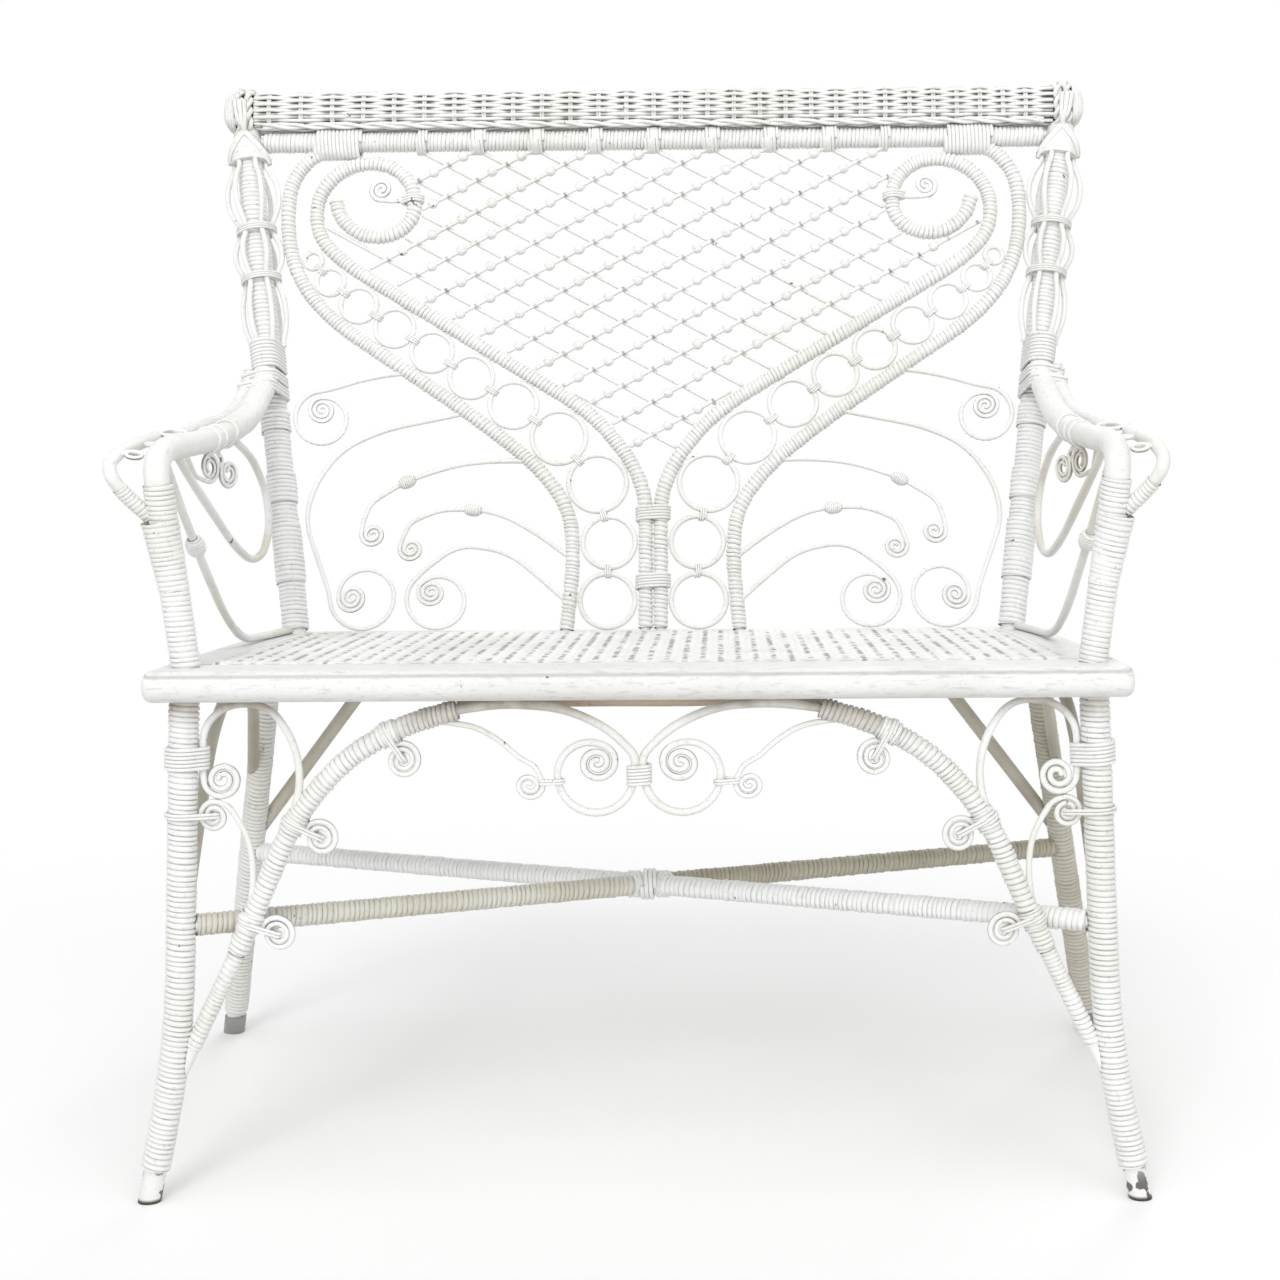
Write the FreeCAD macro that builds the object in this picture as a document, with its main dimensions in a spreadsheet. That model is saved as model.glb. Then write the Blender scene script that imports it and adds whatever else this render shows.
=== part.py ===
"""Painted wicker settee: wrapped poles, woven crest, caned seat and scrollwork, in millimetres.

Bench frame while drawing: X to the sitter's left and right, Y from the front legs to the back,
Z up from the floor. The finished nodes are shifted in Y so that the origin is under the middle.
"""
import FreeCAD, Part
import Sketcher
import math
import os

V = FreeCAD.Vector
doc = FreeCAD.newDocument("wicker_settee")

# Driving dimensions: alias, value, meaning (millimetres, degrees where the meaning says so)
SIZES = (
    ("clearance", 0.2, "gap between pieces that only touch"),
    ("seat_height", 451, "seat top above the floor at the front legs"),
    ("seat_slope", 1.8, "backward fall of the seat, degrees"),
    ("seat_thickness", 26, "thickness of the seat rails"),
    ("front_width", 800, "seat width over the front rail"),
    ("rear_width", 772, "seat width at the rear rail"),
    ("seat_depth", 398, "rear edge of the seat behind the front legs"),
    ("nose_reach", 30, "bullnose in front of the front legs"),
    ("front_rail_back", 42, "back of the front rail behind the front legs"),
    ("corner_step", 5, "side rail set in from the end of the front rail"),
    ("rail_width", 46, "width of the side and rear rails"),
    ("rail_round", 7, "rounding of the front rail's ends"),
    ("rabbet_width", 8, "how far the cane lies on the rails"),
    ("cane_thickness", 3, "thickness of the woven cane"),
    ("cane_corner", 14, "corner radius of the cane panel"),
    ("spline_inset", 2, "spline set in from the cane's edge"),
    ("spline_width", 4, "width of the spline"),
    ("spline_height", 1.6, "height of the spline above the cane"),
    ("dowel_diameter", 8, "dowels in the seat frame"),
    ("dowel_length", 44, "length of a seat dowel"),
    ("tenon_depth", 8, "depth of the pole ends in the seat rails"),
    ("leg_core", 19, "leg pole diameter"),
    ("leg_wrap", 3, "reed wrap on the legs"),
    ("front_leg_span", 744, "between the front legs at the seat"),
    ("knee_span", 772, "between the front legs where they start to flare"),
    ("knee_height", 138, "height where the front legs start to flare"),
    ("front_foot_span", 832, "between the front feet"),
    ("bare_foot", 28, "unwrapped height of the feet"),
    ("rear_leg_span", 744, "between the rear legs at the seat"),
    ("rear_leg_y", 318, "rear legs behind the front legs at the seat"),
    ("rear_foot_span", 914, "between the rear feet"),
    ("rear_foot_y", 474, "rear feet behind the front legs"),
    ("cap_height", 20, "height of the metal foot caps"),
    ("cap_wall", 1.4, "wall of the metal foot caps"),
    ("stretcher_core", 14, "stretcher pole diameter"),
    ("stretcher_wrap", 2.5, "reed wrap on the stretchers"),
    ("stretcher_front", 236, "stretcher height at the front legs"),
    ("stretcher_rear", 214, "stretcher height at the rear legs"),
    ("cross_binding_length", 24, "length of the binding over the crossing"),
    ("cross_binding", 30, "diameter of the binding over the crossing"),
    ("brace_rod", 13, "rear brace diameter"),
    ("brace_reach", 240, "brace end from the middle, at the rear rail"),
    ("brace_height", 228, "brace height on the rear leg"),
    ("side_arch_rod", 11, "side arch diameter"),
    ("side_arch_spring", 65, "height over which a side arch leaves its legs"),
    ("side_arch_inset", 6, "how far a side arch stands in from its legs"),
    ("post_foot_span", 714, "between the back posts at the seat"),
    ("post_y", 375, "back posts behind the front legs at the seat"),
    ("post_flare", 7.4, "outward lean of a back post, degrees"),
    ("back_lean", 17, "backward lean of the back, degrees"),
    ("panel_rise", 523, "top rail above the seat, along the back"),
    ("post_core", 20, "back post diameter"),
    ("post_wrap", 3.5, "reed wrap on the posts"),
    ("top_rail_core", 12, "top rail diameter"),
    ("top_rail_wrap", 4.5, "reed wrap on the top rail"),
    ("strip_rod", 5, "twisted strip in the notch between top rail and crest"),
    ("crest_height", 44, "height of the crest roll"),
    ("crest_depth", 42, "depth of the crest roll"),
    ("crest_length", 900, "length of the crest roll"),
    ("crest_round", 16, "rounding of the crest's section and ends"),
    ("crest_band", 18, "width of the knotted band at a crest end"),
    ("crest_band_wall", 4, "thickness of the knotted band"),
    ("post_cap_height", 34, "height of the smooth cap under a crest end"),
    ("post_cap_flare", 6, "how far the cap's foot stands out from the post"),
    ("cage_reed", 5.5, "reeds of the post cages"),
    ("cage_bulge", 10, "how far the top cage stands out from its waist"),
    ("cage_bottom", 298, "foot of the cages above the seat, along the post"),
    ("cage_waist_low", 372, "lower waist of the cages"),
    ("cage_waist_high", 425, "upper waist of the cages"),
    ("tie_width", 5, "width of a cage tie"),
    ("tie_wall", 2.2, "thickness of ties and bindings"),
    ("arm_binding_height", 30, "height of the binding that holds an arm to its post"),
    ("v_core", 9, "V band pole diameter"),
    ("v_wrap", 3, "reed wrap on the V bands"),
    ("stem_height", 140, "height of the paired stem in the middle"),
    ("ring_reed", 5.5, "reed of the rings between the V bands"),
    ("ring_least", 11, "least outer radius of a ring"),
    ("lattice_reed", 4.4, "lattice reed diameter"),
    ("lattice_pitch", 61, "lattice spacing across"),
    ("lattice_angle", 29.5, "lattice slope, degrees"),
    ("bead", 11, "bead diameter"),
    ("scroll_rod", 5.5, "rods of the back scrolls"),
    ("scroll_ring", 31, "radius of the open rings of the back scrolls"),
    ("coil_rod", 4.6, "rods of the small flat coils"),
    ("coil_size", 12.5, "outer radius of the small coils"),
    ("back_knob", 12, "knobs on the back scrolls"),
    ("arch_core", 12, "front arch diameter"),
    ("arch_wrap", 3, "reed wrap on the front arches"),
    ("apron_rod", 8, "rods of the apron scrolls"),
    ("apron_ring", 31.5, "radius of the ring at the middle of the apron"),
    ("apron_coil", 14.5, "outer radius of the coils on the arches"),
    ("corner_rod", 6.4, "rods of the corner scrolls"),
    ("arm_pole", 21, "arm pole diameter"),
    ("arm_post_wrap", 1.8, "reed wrap on the arm posts"),
    ("arm_foot_span", 746, "between the arm posts at the seat"),
    ("arm_foot_y", 13, "arm posts behind the front legs"),
    ("arm_span", 780, "between the arm rails"),
    ("arm_rise", 178, "arm rail above the seat"),
    ("arm_run", 360, "arm rail behind the front legs where it turns up"),
    ("arm_bow", 4, "how far the arm rail bows out at its rear end"),
    ("arm_rear_lift", 26, "how far the arm rail rises before it turns up the post"),
    ("arm_front_drop", 12, "fall of the arm rail into its front bend"),
    ("outer_rod", 11, "outer arm rod diameter"),
    ("outer_reach", 27, "outer arm rod from the arm rail, axis to axis"),
    ("arm_rod", 7.5, "rods of the arm scrolls"),
    ("arm_knob", 17, "knobs on the arm scrolls"),
    ("loop_length", 40, "length of an oval arm loop"),
    ("loop_reed", 4.4, "reed of an oval arm loop"),
)

sheet = doc.addObject("Spreadsheet::Sheet", "sizes")
for row, (alias, value, meaning) in enumerate(SIZES, start=1):
    sheet.set("A%d" % row, meaning)
    sheet.set("B%d" % row, str(value))
    sheet.setAlias("B%d" % row, alias)
doc.recompute()


def mm(alias):
    """A driving dimension as a plain number."""
    return float(getattr(sheet, alias))


GAP = mm("clearance")
FAR = 4000.0
nodes = []


def add_node(label, thing):
    """Registers a finished document object, or a shape as a new one, under its node name."""
    if isinstance(thing, Part.Shape):
        obj = doc.addObject("Part::Feature", label)
        obj.Shape = thing
    else:
        obj = thing
    obj.Label = label
    nodes.append(obj)
    return obj


def flip(shape):
    """The other side's copy of a shape."""
    return shape.mirror(V(0, 0, 0), V(1, 0, 0))


def add_pair(label, shape):
    """One node on each side from the shape of the side at positive X."""
    add_node(label + "_left", flip(shape))
    add_node(label + "_right", shape)


def both(shapes):
    """A list of shapes and their other side's copies as one group."""
    return Part.makeCompound(list(shapes) + [flip(s) for s in shapes])


def rounded_edges(points, share=0.5):
    """Straight runs through the points, joined by the largest tangent arcs that the runs allow."""
    edges = []
    start = points[0]
    for before, corner, after in zip(points, points[1:], points[2:]):
        back, ahead = before - corner, after - corner
        half_turn = (math.pi - back.getAngle(ahead)) / 2
        if half_turn < 1e-3:
            continue
        reach = share * min(back.Length, ahead.Length)
        back.normalize()
        ahead.normalize()
        enter, leave = corner + back * reach, corner + ahead * reach
        bisector = back + ahead
        bisector.normalize()
        radius = reach / math.tan(half_turn)
        middle = corner + bisector * (radius / math.cos(half_turn) - radius)
        if (enter - start).Length > 1e-4:
            edges.append(Part.LineSegment(start, enter).toShape())
        edges.append(Part.Arc(enter, middle, leave).toShape())
        start = leave
    if (points[-1] - start).Length > 1e-4:
        edges.append(Part.LineSegment(start, points[-1]).toShape())
    return edges


def coil_edges(centre, across, up, radii, start_angle, turn, spans=()):
    """Tangent arcs of the given radii that wind inwards in the plane across-up, from a start angle.

    They are half circles where spans, in degrees, says nothing else.
    """
    def outward(angle):
        return across * math.cos(angle) + up * math.sin(angle)

    edges = []
    angle = math.radians(start_angle)
    hub, last = centre, radii[0]
    for count, radius in enumerate(radii):
        span = turn * math.radians(spans[count] if count < len(spans) else 180)
        hub = hub + outward(angle) * (last - radius)
        spots = [hub + outward(angle + span * part) * radius for part in (0, 0.5, 1)]
        edges.append(Part.Arc(*spots).toShape())
        angle, last = angle + span, radius
    return edges


def tube(edges, radius):
    """A round rod along a chain of edges."""
    first = edges[0]
    profile = Part.Wire(Part.makeCircle(radius, first.valueAt(first.FirstParameter),
                                        first.tangentAt(first.FirstParameter)))
    return Part.Wire(edges).makePipeShell([profile], True, False)


def rod(points, radius):
    return tube(rounded_edges(points), radius)


coil_gaps = []


def coil_tube(edges, radius):
    """A rod with a wound end; the least gap between its turns is measured on points and kept."""
    step = radius / 2
    points = Part.Wire(edges).discretize(Distance=step)
    apart = int(math.pi * 2 * radius / step)
    nearest = min((a - b).Length for i, a in enumerate(points) for b in points[i + apart:])
    coil_gaps.append(nearest - 2 * radius)
    return tube(edges, radius)


def bar(start, end, radius):
    """A straight round bar."""
    return Part.makeCylinder(radius, (end - start).Length, start, end - start)


def largest(shape):
    """The biggest solid of a cut, so that stubs beyond a coped end are dropped."""
    return max(shape.Solids, key=lambda s: s.Volume)


def cope(shape, *cutters):
    """Cuts a rod's ends to fit what it meets."""
    return largest(shape.cut(list(cutters)))


def sleeve(edges, inner, outer):
    """A reed wrap as a tube round a pole."""
    return tube(edges, outer).cut(tube(edges, inner))


def slab(low, high):
    """Everything between two levels, as a wide block."""
    return Part.makeBox(FAR, FAR, high - low, V(-FAR / 2, -FAR / 2, low))


# Frames of reference
slope = math.radians(mm("seat_slope"))
seat_place = FreeCAD.Placement(V(0, 0, mm("seat_height")), FreeCAD.Rotation(V(1, 0, 0), -mm("seat_slope")))
thick = mm("seat_thickness")


def seat_top(y):
    return mm("seat_height") - y * math.tan(slope)


def seat_under(y):
    return seat_top(y) - thick / math.cos(slope)


def seat_block(low, high):
    """A slab in the sloping seat's own frame, 0 at its top."""
    block = slab(low, high)
    block.Placement = seat_place
    return block


above_under = seat_block(-thick - GAP, FAR / 2)
below_top = seat_block(-FAR / 2, GAP)

lean = math.radians(mm("back_lean"))
panel_up = V(0, math.sin(lean), math.cos(lean))
panel_out = V(0, -math.cos(lean), math.sin(lean))
panel_across = V(1, 0, 0)
panel_foot = V(0, mm("post_y"), seat_top(mm("post_y")))
rise = mm("panel_rise")


def panel(x, up, out=0.0):
    """A point of the back: across, up along the lean from the seat, and out towards the sitter."""
    return panel_foot + panel_across * x + panel_up * up + panel_out * out


def post_x(up):
    return mm("post_foot_span") / 2 + up * math.tan(math.radians(mm("post_flare")))


def on_back(p, q):
    """A point of the back in hundredths: of the way from the middle to the post, and of the rise."""
    up = q / 100 * rise
    return panel(p / 100 * post_x(up), up)


def on_apron(p, q):
    """A point of the front plane in hundredths of the half leg span and of the height under the seat."""
    return V(p / 100 * mm("front_leg_span") / 2, 0, q / 100 * seat_under(0))


# Poles that everything else meets
leg_r = mm("leg_core") / 2
leg_R = leg_r + mm("leg_wrap")
leg_top = V(mm("front_leg_span") / 2, 0, seat_under(0))
knee = V(mm("knee_span") / 2, 0, mm("knee_height"))
foot = V(mm("front_foot_span") / 2, 0, 0)
leg_axis = (leg_top - knee).normalize()
foot_axis = (foot - knee).normalize()


def front_leg_edges(into_seat, below):
    return rounded_edges([leg_top + leg_axis * into_seat, knee, foot + foot_axis * below], 0.48)


rear_top = V(mm("rear_leg_span") / 2, mm("rear_leg_y"), seat_under(mm("rear_leg_y")))
rear_foot = V(mm("rear_foot_span") / 2, mm("rear_foot_y"), 0)
rear_axis = (rear_top - rear_foot).normalize()


def rear_leg_at(z):
    return rear_foot + rear_axis * (z / rear_axis.z)


def front_leg_at(z):
    return leg_top + leg_axis * ((z - leg_top.z) / leg_axis.z)


post_r = mm("post_core") / 2
post_R = post_r + mm("post_wrap")
post_axis = (panel(post_x(rise), rise) - panel(post_x(0), 0)).normalize()
top_rail_R = mm("top_rail_core") / 2 + mm("top_rail_wrap")
crest_foot = rise + top_rail_R + GAP
tenon = mm("tenon_depth")
below_floor = slab(-FAR / 2, 0)


def on_post(up):
    return panel(post_x(up), up)


def post_bar(low, high, radius):
    return bar(on_post(low), on_post(high), radius)


# Legs, their wraps and the metal caps
front_leg = tube(front_leg_edges(tenon, leg_r), leg_r).cut(below_floor)
front_mortise = tube(front_leg_edges(tenon + GAP, 0), leg_r + GAP)
front_wrap = sleeve(front_leg_edges(thick, leg_r), leg_r + GAP, leg_R)
front_wrap = front_wrap.cut([above_under, slab(-FAR / 2, mm("bare_foot"))])
front_leg_block = tube(front_leg_edges(thick, leg_r), leg_R + GAP)

rear_low = rear_foot - rear_axis * (2 * leg_r)
rear_leg = bar(rear_low, rear_top + rear_axis * tenon, leg_r)
rear_leg = rear_leg.cut(slab(-FAR / 2, mm("cap_wall") + GAP))
rear_mortise = bar(rear_low, rear_top + rear_axis * (tenon + GAP), leg_r + GAP)
rear_leg_block = bar(rear_low, rear_top + rear_axis * thick, leg_R + GAP)
rear_wrap = bar(rear_low, rear_top + rear_axis * thick, leg_R).cut(rear_mortise)
rear_wrap = rear_wrap.cut([above_under, slab(-FAR / 2, mm("bare_foot"))])
rear_cap = bar(rear_low, rear_top, leg_r + GAP + mm("cap_wall"))
rear_cap = rear_cap.common(slab(0, mm("cap_height")))
rear_cap = rear_cap.cut(rear_mortise.common(slab(mm("cap_wall"), FAR / 2)))

add_pair("front_leg", front_leg)
add_pair("rear_leg", rear_leg)
add_node("rear_foot_caps", both([rear_cap]))
leg_wraps = [front_wrap, largest(rear_wrap)]

# Arm poles: one bent pole from the back post, along the arm and down to the seat
arm_r = mm("arm_pole") / 2
arm_R = arm_r + mm("arm_post_wrap")
arm_x = mm("arm_span") / 2
arm_top = mm("seat_height") + mm("arm_rise")
arm_foot = V(mm("arm_foot_span") / 2, mm("arm_foot_y"), seat_top(mm("arm_foot_y")))
arm_off_post = post_R + arm_r + GAP
binding_top = mm("cage_bottom") - GAP
binding_foot = binding_top - mm("arm_binding_height")


def beside_post(up, side=0.0, ahead=None):
    """A point in front of a back post, and off to its side."""
    return panel(post_x(up) + side, up, arm_off_post if ahead is None else ahead)


def arm_corner(x, y, drop):
    return V(x, y, arm_top - drop)


arm_points = [
    beside_post(binding_top), beside_post(binding_foot - arm_r),
    arm_corner(arm_x + mm("arm_bow"), mm("arm_run"), -mm("arm_rear_lift")),
    arm_corner(arm_x, mm("arm_run") * 0.6, -mm("arm_rear_lift") / 4),
    arm_corner(arm_x, 3 * arm_r, 0), arm_corner(arm_x, arm_foot.y - arm_r, mm("arm_front_drop")),
    arm_foot + V((arm_x - arm_foot.x) * 0.6, 0, mm("arm_rise") * 0.5),
]


def arm_edges(into_seat):
    foot_run = (arm_foot - arm_points[-1]).normalize()
    return rounded_edges(arm_points + [arm_foot + foot_run * into_seat])


arm_pole = tube(arm_edges(tenon), arm_r)
arm_mortise = bar(arm_foot + V(0, 0, tenon), arm_foot - V(0, 0, tenon + GAP), arm_r + 2 * GAP)
arm_wrap_zone = Part.makeBox(FAR, 8 * arm_r, mm("arm_rise"), V(0, -4 * arm_r, mm("seat_height") - thick))
arm_wrap = sleeve(arm_edges(0), arm_r + GAP, arm_R).common(arm_wrap_zone).cut(below_top)
arm_block = tube(arm_edges(tenon), arm_r + GAP)
arm_post_block = tube(arm_edges(tenon), arm_R + GAP).common(arm_wrap_zone)

# Seat frame
post_mortise = bar(on_post(-tenon - GAP), on_post(thick), post_r + GAP)


def sketch_on(body, role, name):
    plane = [f for f in body.Origin.OriginFeatures if f.Role == role][0]
    sketch = body.newObject("Sketcher::SketchObject", name)
    sketch.AttachmentSupport = (plane, "")
    sketch.MapMode = "FlatFace"
    return sketch


def hold(sketch, expression, *constraint):
    """Adds a constraint whose value follows an expression of the sheet."""
    index = sketch.addConstraint(Sketcher.Constraint(*constraint))
    sketch.setExpression("Constraints[%d]" % index, expression)


def pad(body, sketch, expression, symmetric=False, reverse=False):
    feature = body.newObject("PartDesign::Pad", sketch.Name + "_pad")
    feature.Profile = sketch
    feature.setExpression("Length", expression)
    if symmetric:
        feature.SideType = "Symmetric"
    feature.Reversed = reverse
    return feature


def cut_with(label, base, shapes):
    """A boolean cut of a document object by a group of cutters."""
    tool = doc.addObject("Part::Feature", label + "_cutters")
    tool.Shape = Part.makeCompound(shapes)
    result = doc.addObject("Part::Cut", label)
    result.Base = base
    result.Tool = tool
    return result


def in_seat(x, y, z, axis, degrees):
    """A placement in the sloping seat's frame, turned about an axis."""
    return seat_place.multiply(FreeCAD.Placement(V(x, y, z), FreeCAD.Rotation(axis, degrees)))


front_body = doc.addObject("PartDesign::Body", "front_rail_body")
nose_sketch = sketch_on(front_body, "YZ_Plane", "front_rail_profile")
hub_y = thick / 2 - mm("nose_reach")
rail_back = mm("front_rail_back")
nose_sketch.addGeometry([
    Part.LineSegment(V(hub_y, 0, 0), V(rail_back, 0, 0)),
    Part.LineSegment(V(rail_back, 0, 0), V(rail_back, -thick, 0)),
    Part.LineSegment(V(rail_back, -thick, 0), V(hub_y, -thick, 0)),
    Part.ArcOfCircle(Part.Circle(V(hub_y, -thick / 2, 0), V(0, 0, 1), thick / 2),
                     math.pi / 2, 3 * math.pi / 2),
], False)
for constraint in (("Coincident", 0, 2, 1, 1), ("Coincident", 1, 2, 2, 1), ("Tangent", 2, 2, 3, 2),
                   ("Tangent", 0, 1, 3, 1), ("Horizontal", 0), ("Vertical", 1), ("Horizontal", 2),
                   ("PointOnObject", 0, 2, -1)):
    nose_sketch.addConstraint(Sketcher.Constraint(*constraint))
hold(nose_sketch, "sizes.front_rail_back", "DistanceX", -1, 1, 0, 2, rail_back)
hold(nose_sketch, "sizes.seat_thickness", "DistanceY", 1, 2, 1, 1, thick)
hold(nose_sketch, "sizes.front_rail_back + sizes.nose_reach - sizes.seat_thickness / 2",
     "DistanceX", 3, 3, 0, 2, rail_back - hub_y)
nose_pad = pad(front_body, nose_sketch, "sizes.front_width", symmetric=True)
doc.recompute()
rail_ends = ["Edge%d" % i for i, edge in enumerate(nose_pad.Shape.Edges, start=1)
             if all(abs(abs(v.X) - mm("front_width") / 2) < 1e-3 for v in edge.Vertexes)]
nose_fillet = front_body.newObject("PartDesign::Fillet", "front_rail_rounding")
nose_fillet.Base = (nose_pad, rail_ends)
nose_fillet.setExpression("Radius", "sizes.rail_round")
front_body.Placement = seat_place

side_body = doc.addObject("PartDesign::Body", "side_rail_body")
side_sketch = sketch_on(side_body, "XY_Plane", "side_rail_plan")
outer_front = "sizes.front_width / 2 - sizes.corner_step"
side_corners = (
    (outer_front, "sizes.front_rail_back", mm("front_width") / 2 - mm("corner_step"), rail_back),
    ("sizes.rear_width / 2", "sizes.seat_depth", mm("rear_width") / 2, mm("seat_depth")),
    ("sizes.rear_width / 2 - sizes.rail_width", "sizes.seat_depth",
     mm("rear_width") / 2 - mm("rail_width"), mm("seat_depth")),
    (outer_front + " - sizes.rail_width", "sizes.front_rail_back",
     mm("front_width") / 2 - mm("corner_step") - mm("rail_width"), rail_back),
)
for corner, following in zip(side_corners, side_corners[1:] + side_corners[:1]):
    ends = [V(spot[2], spot[3], 0) for spot in (corner, following)]
    side_sketch.addGeometry(Part.LineSegment(*ends), False)
for line in range(4):
    side_sketch.addConstraint(Sketcher.Constraint("Coincident", line, 2, (line + 1) % 4, 1))
for line, (across_rule, along_rule, across, along) in enumerate(side_corners):
    hold(side_sketch, across_rule, "DistanceX", -1, 1, line, 1, across)
    hold(side_sketch, along_rule, "DistanceY", -1, 1, line, 1, along)
pad(side_body, side_sketch, "sizes.seat_thickness", reverse=True)
side_body.Placement = seat_place
side_mirror = doc.addObject("Part::Mirroring", "left_side_blank")
side_mirror.Source = side_body
side_mirror.Normal = V(1, 0, 0)

rear_blank = doc.addObject("Part::Box", "rear_rail_blank")
rear_blank.setExpression("Length", "sizes.rear_width")
rear_blank.setExpression("Width", "sizes.rail_width")
rear_blank.setExpression("Height", "sizes.seat_thickness")
rear_blank.Placement = in_seat(-mm("rear_width") / 2, mm("seat_depth") - mm("rail_width"), -thick,
                               V(0, 0, 1), 0)


def inner_edge(y):
    """Inner edge of a side rail, from the middle."""
    front, rear = side_corners[3][2], side_corners[2][2]
    return front + (rear - front) * (y - rail_back) / (mm("seat_depth") - rail_back)


def seat_panel(inset, low, high):
    """A plate with the plan of the cane panel, set in all round, between two heights of the seat."""
    grow = mm("rabbet_width") - inset
    front, rear = rail_back - grow, mm("seat_depth") - mm("rail_width") + grow
    corners = [V(inner_edge(front) + grow, front, low), V(inner_edge(rear) + grow, rear, low)]
    corners += [V(-c.x, c.y, low) for c in reversed(corners)]
    plate = Part.Face(Part.makePolygon(corners + corners[:1])).extrude(V(0, 0, high - low))
    upright = [e for e in plate.Edges if abs(e.Vertexes[0].Z - e.Vertexes[-1].Z) > 1e-6]
    plate = plate.makeFillet(max(mm("cane_corner") - inset, 1), upright)
    plate.Placement = seat_place
    return plate


cane_thick = mm("cane_thickness")
cane = seat_panel(GAP, -cane_thick, 0)
rabbet = seat_panel(0, -cane_thick, thick)
spline_out, spline_in = mm("spline_inset"), mm("spline_inset") + mm("spline_width")
spline = seat_panel(spline_out, 0, mm("spline_height")).cut(seat_panel(spline_in, -1, thick))

dowel_r = mm("dowel_diameter") / 2
half_dowel = mm("dowel_length") / 2
side_dowel_x = (side_corners[0][2] + side_corners[3][2]) / 2 - dowel_r
rear_dowel_y = mm("seat_depth") - mm("rail_width") / 2
dowel_places = []
for side in (-1, 1):
    dowel_places.append(in_seat(side * side_dowel_x, rail_back - half_dowel, -thick / 2, V(1, 0, 0), -90))
    rear_dowel_x = side * side_corners[2][2] - half_dowel
    dowel_places.append(in_seat(rear_dowel_x, rear_dowel_y, -thick / 2, V(0, 1, 0), 90))
dowels, dowel_holes = [], []
for count, place in enumerate(dowel_places):
    dowel = doc.addObject("Part::Cylinder", "dowel_%d" % count)
    dowel.setExpression("Radius", "sizes.dowel_diameter / 2")
    dowel.setExpression("Height", "sizes.dowel_length")
    dowel.Placement = place
    dowels.append(dowel)
    hole = Part.makeCylinder(dowel_r + GAP, mm("dowel_length") + 2 * GAP, V(0, 0, -GAP))
    hole.Placement = place
    dowel_holes.append(hole)
dowel_group = doc.addObject("Part::Compound", "seat_dowels")
dowel_group.Links = dowels

front_cuts = [front_mortise, flip(front_mortise), arm_mortise, flip(arm_mortise), rabbet] + dowel_holes
side_cuts = [rear_mortise, flip(rear_mortise), post_mortise, flip(post_mortise), rabbet] + dowel_holes
add_node("seat_front_rail", cut_with("seat_front_rail", front_body, front_cuts))
add_node("seat_right_rail", cut_with("seat_right_rail", side_body, side_cuts))
add_node("seat_left_rail", cut_with("seat_left_rail", side_mirror, side_cuts))
doc.recompute()
side_shapes = [side_body.Shape.copy(), side_mirror.Shape.copy()]
add_node("seat_rear_rail", cut_with("seat_rear_rail", rear_blank, side_shapes + [rabbet] + dowel_holes))
add_node("seat_dowels", dowel_group)
add_node("seat_cane", cane)
add_node("cane_spline", spline)

# X-stretcher, halved at the crossing
stretcher_r = mm("stretcher_core") / 2
stretcher_R = stretcher_r + mm("stretcher_wrap")
cross_front = front_leg_at(mm("stretcher_front"))
cross_rear = rear_leg_at(mm("stretcher_rear"))
cross_rear.x *= -1
crossing = cross_front + (cross_rear - cross_front) * (cross_front.x / (cross_front.x - cross_rear.x))
cross_blocks = [front_leg_block, flip(rear_leg_block)]


def stretcher(radius):
    return bar(cross_front, cross_rear, radius)


half_lap = flip(stretcher(stretcher_r + GAP)).common(slab(crossing.z - GAP / 2, FAR / 2))
low_stretcher = cope(stretcher(stretcher_r), *cross_blocks).cut(half_lap)
half_lap = stretcher(stretcher_r + GAP).common(slab(-FAR / 2, crossing.z + GAP / 2))
high_stretcher = flip(cope(stretcher(stretcher_r), *cross_blocks)).cut(half_lap)
half_spread = math.atan2(abs(cross_rear.y - cross_front.y), cross_front.x - cross_rear.x)
crotch = stretcher_R / math.sin(half_spread) + 2 * GAP
middle = Part.makeBox(2 * crotch, FAR, FAR, V(-crotch, -FAR / 2, -FAR / 2))
stretcher_wrap = cope(stretcher(stretcher_R), *cross_blocks).cut([stretcher(stretcher_r + GAP), middle])
binding_half = mm("cross_binding_length") / 2
collar = bar(crossing - V(binding_half, 0, 0), crossing + V(binding_half, 0, 0), mm("cross_binding") / 2)
inside_crotch = Part.makeBox(2 * (crotch - GAP), FAR, FAR, V(GAP - crotch, -FAR / 2, -FAR / 2))
cross_binding = stretcher(stretcher_R).fuse(flip(stretcher(stretcher_R))).common(inside_crotch).fuse(collar)
cross_binding = cross_binding.cut([stretcher(stretcher_r + GAP), flip(stretcher(stretcher_r + GAP))])
add_node("stretcher_right", low_stretcher)
add_node("stretcher_left", high_stretcher)
add_node("stretcher_wraps", both(stretcher_wrap.Solids))
add_node("stretcher_binding", cross_binding)

# Braces behind, and the arches at the sides under the seat
brace_top = V(mm("brace_reach"), mm("seat_depth") - mm("rail_width") / 2, mm("seat_height"))
brace = bar(rear_leg_at(mm("brace_height")), brace_top, mm("brace_rod") / 2)
brace = cope(brace, rear_leg_block, above_under)
add_node("rear_braces", both([brace]))
side_arch_r = mm("side_arch_rod") / 2
arch_front, arch_rear = front_leg_at(0.44 * mm("seat_height")), rear_leg_at(0.48 * mm("seat_height"))


def under_rail(y):
    """A rod's axis under a side rail, between the legs."""
    share = y / mm("rear_leg_y")
    return V(leg_top.x + (rear_top.x - leg_top.x) * share - leg_r / 2, y, seat_under(y) - side_arch_r - GAP)


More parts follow.
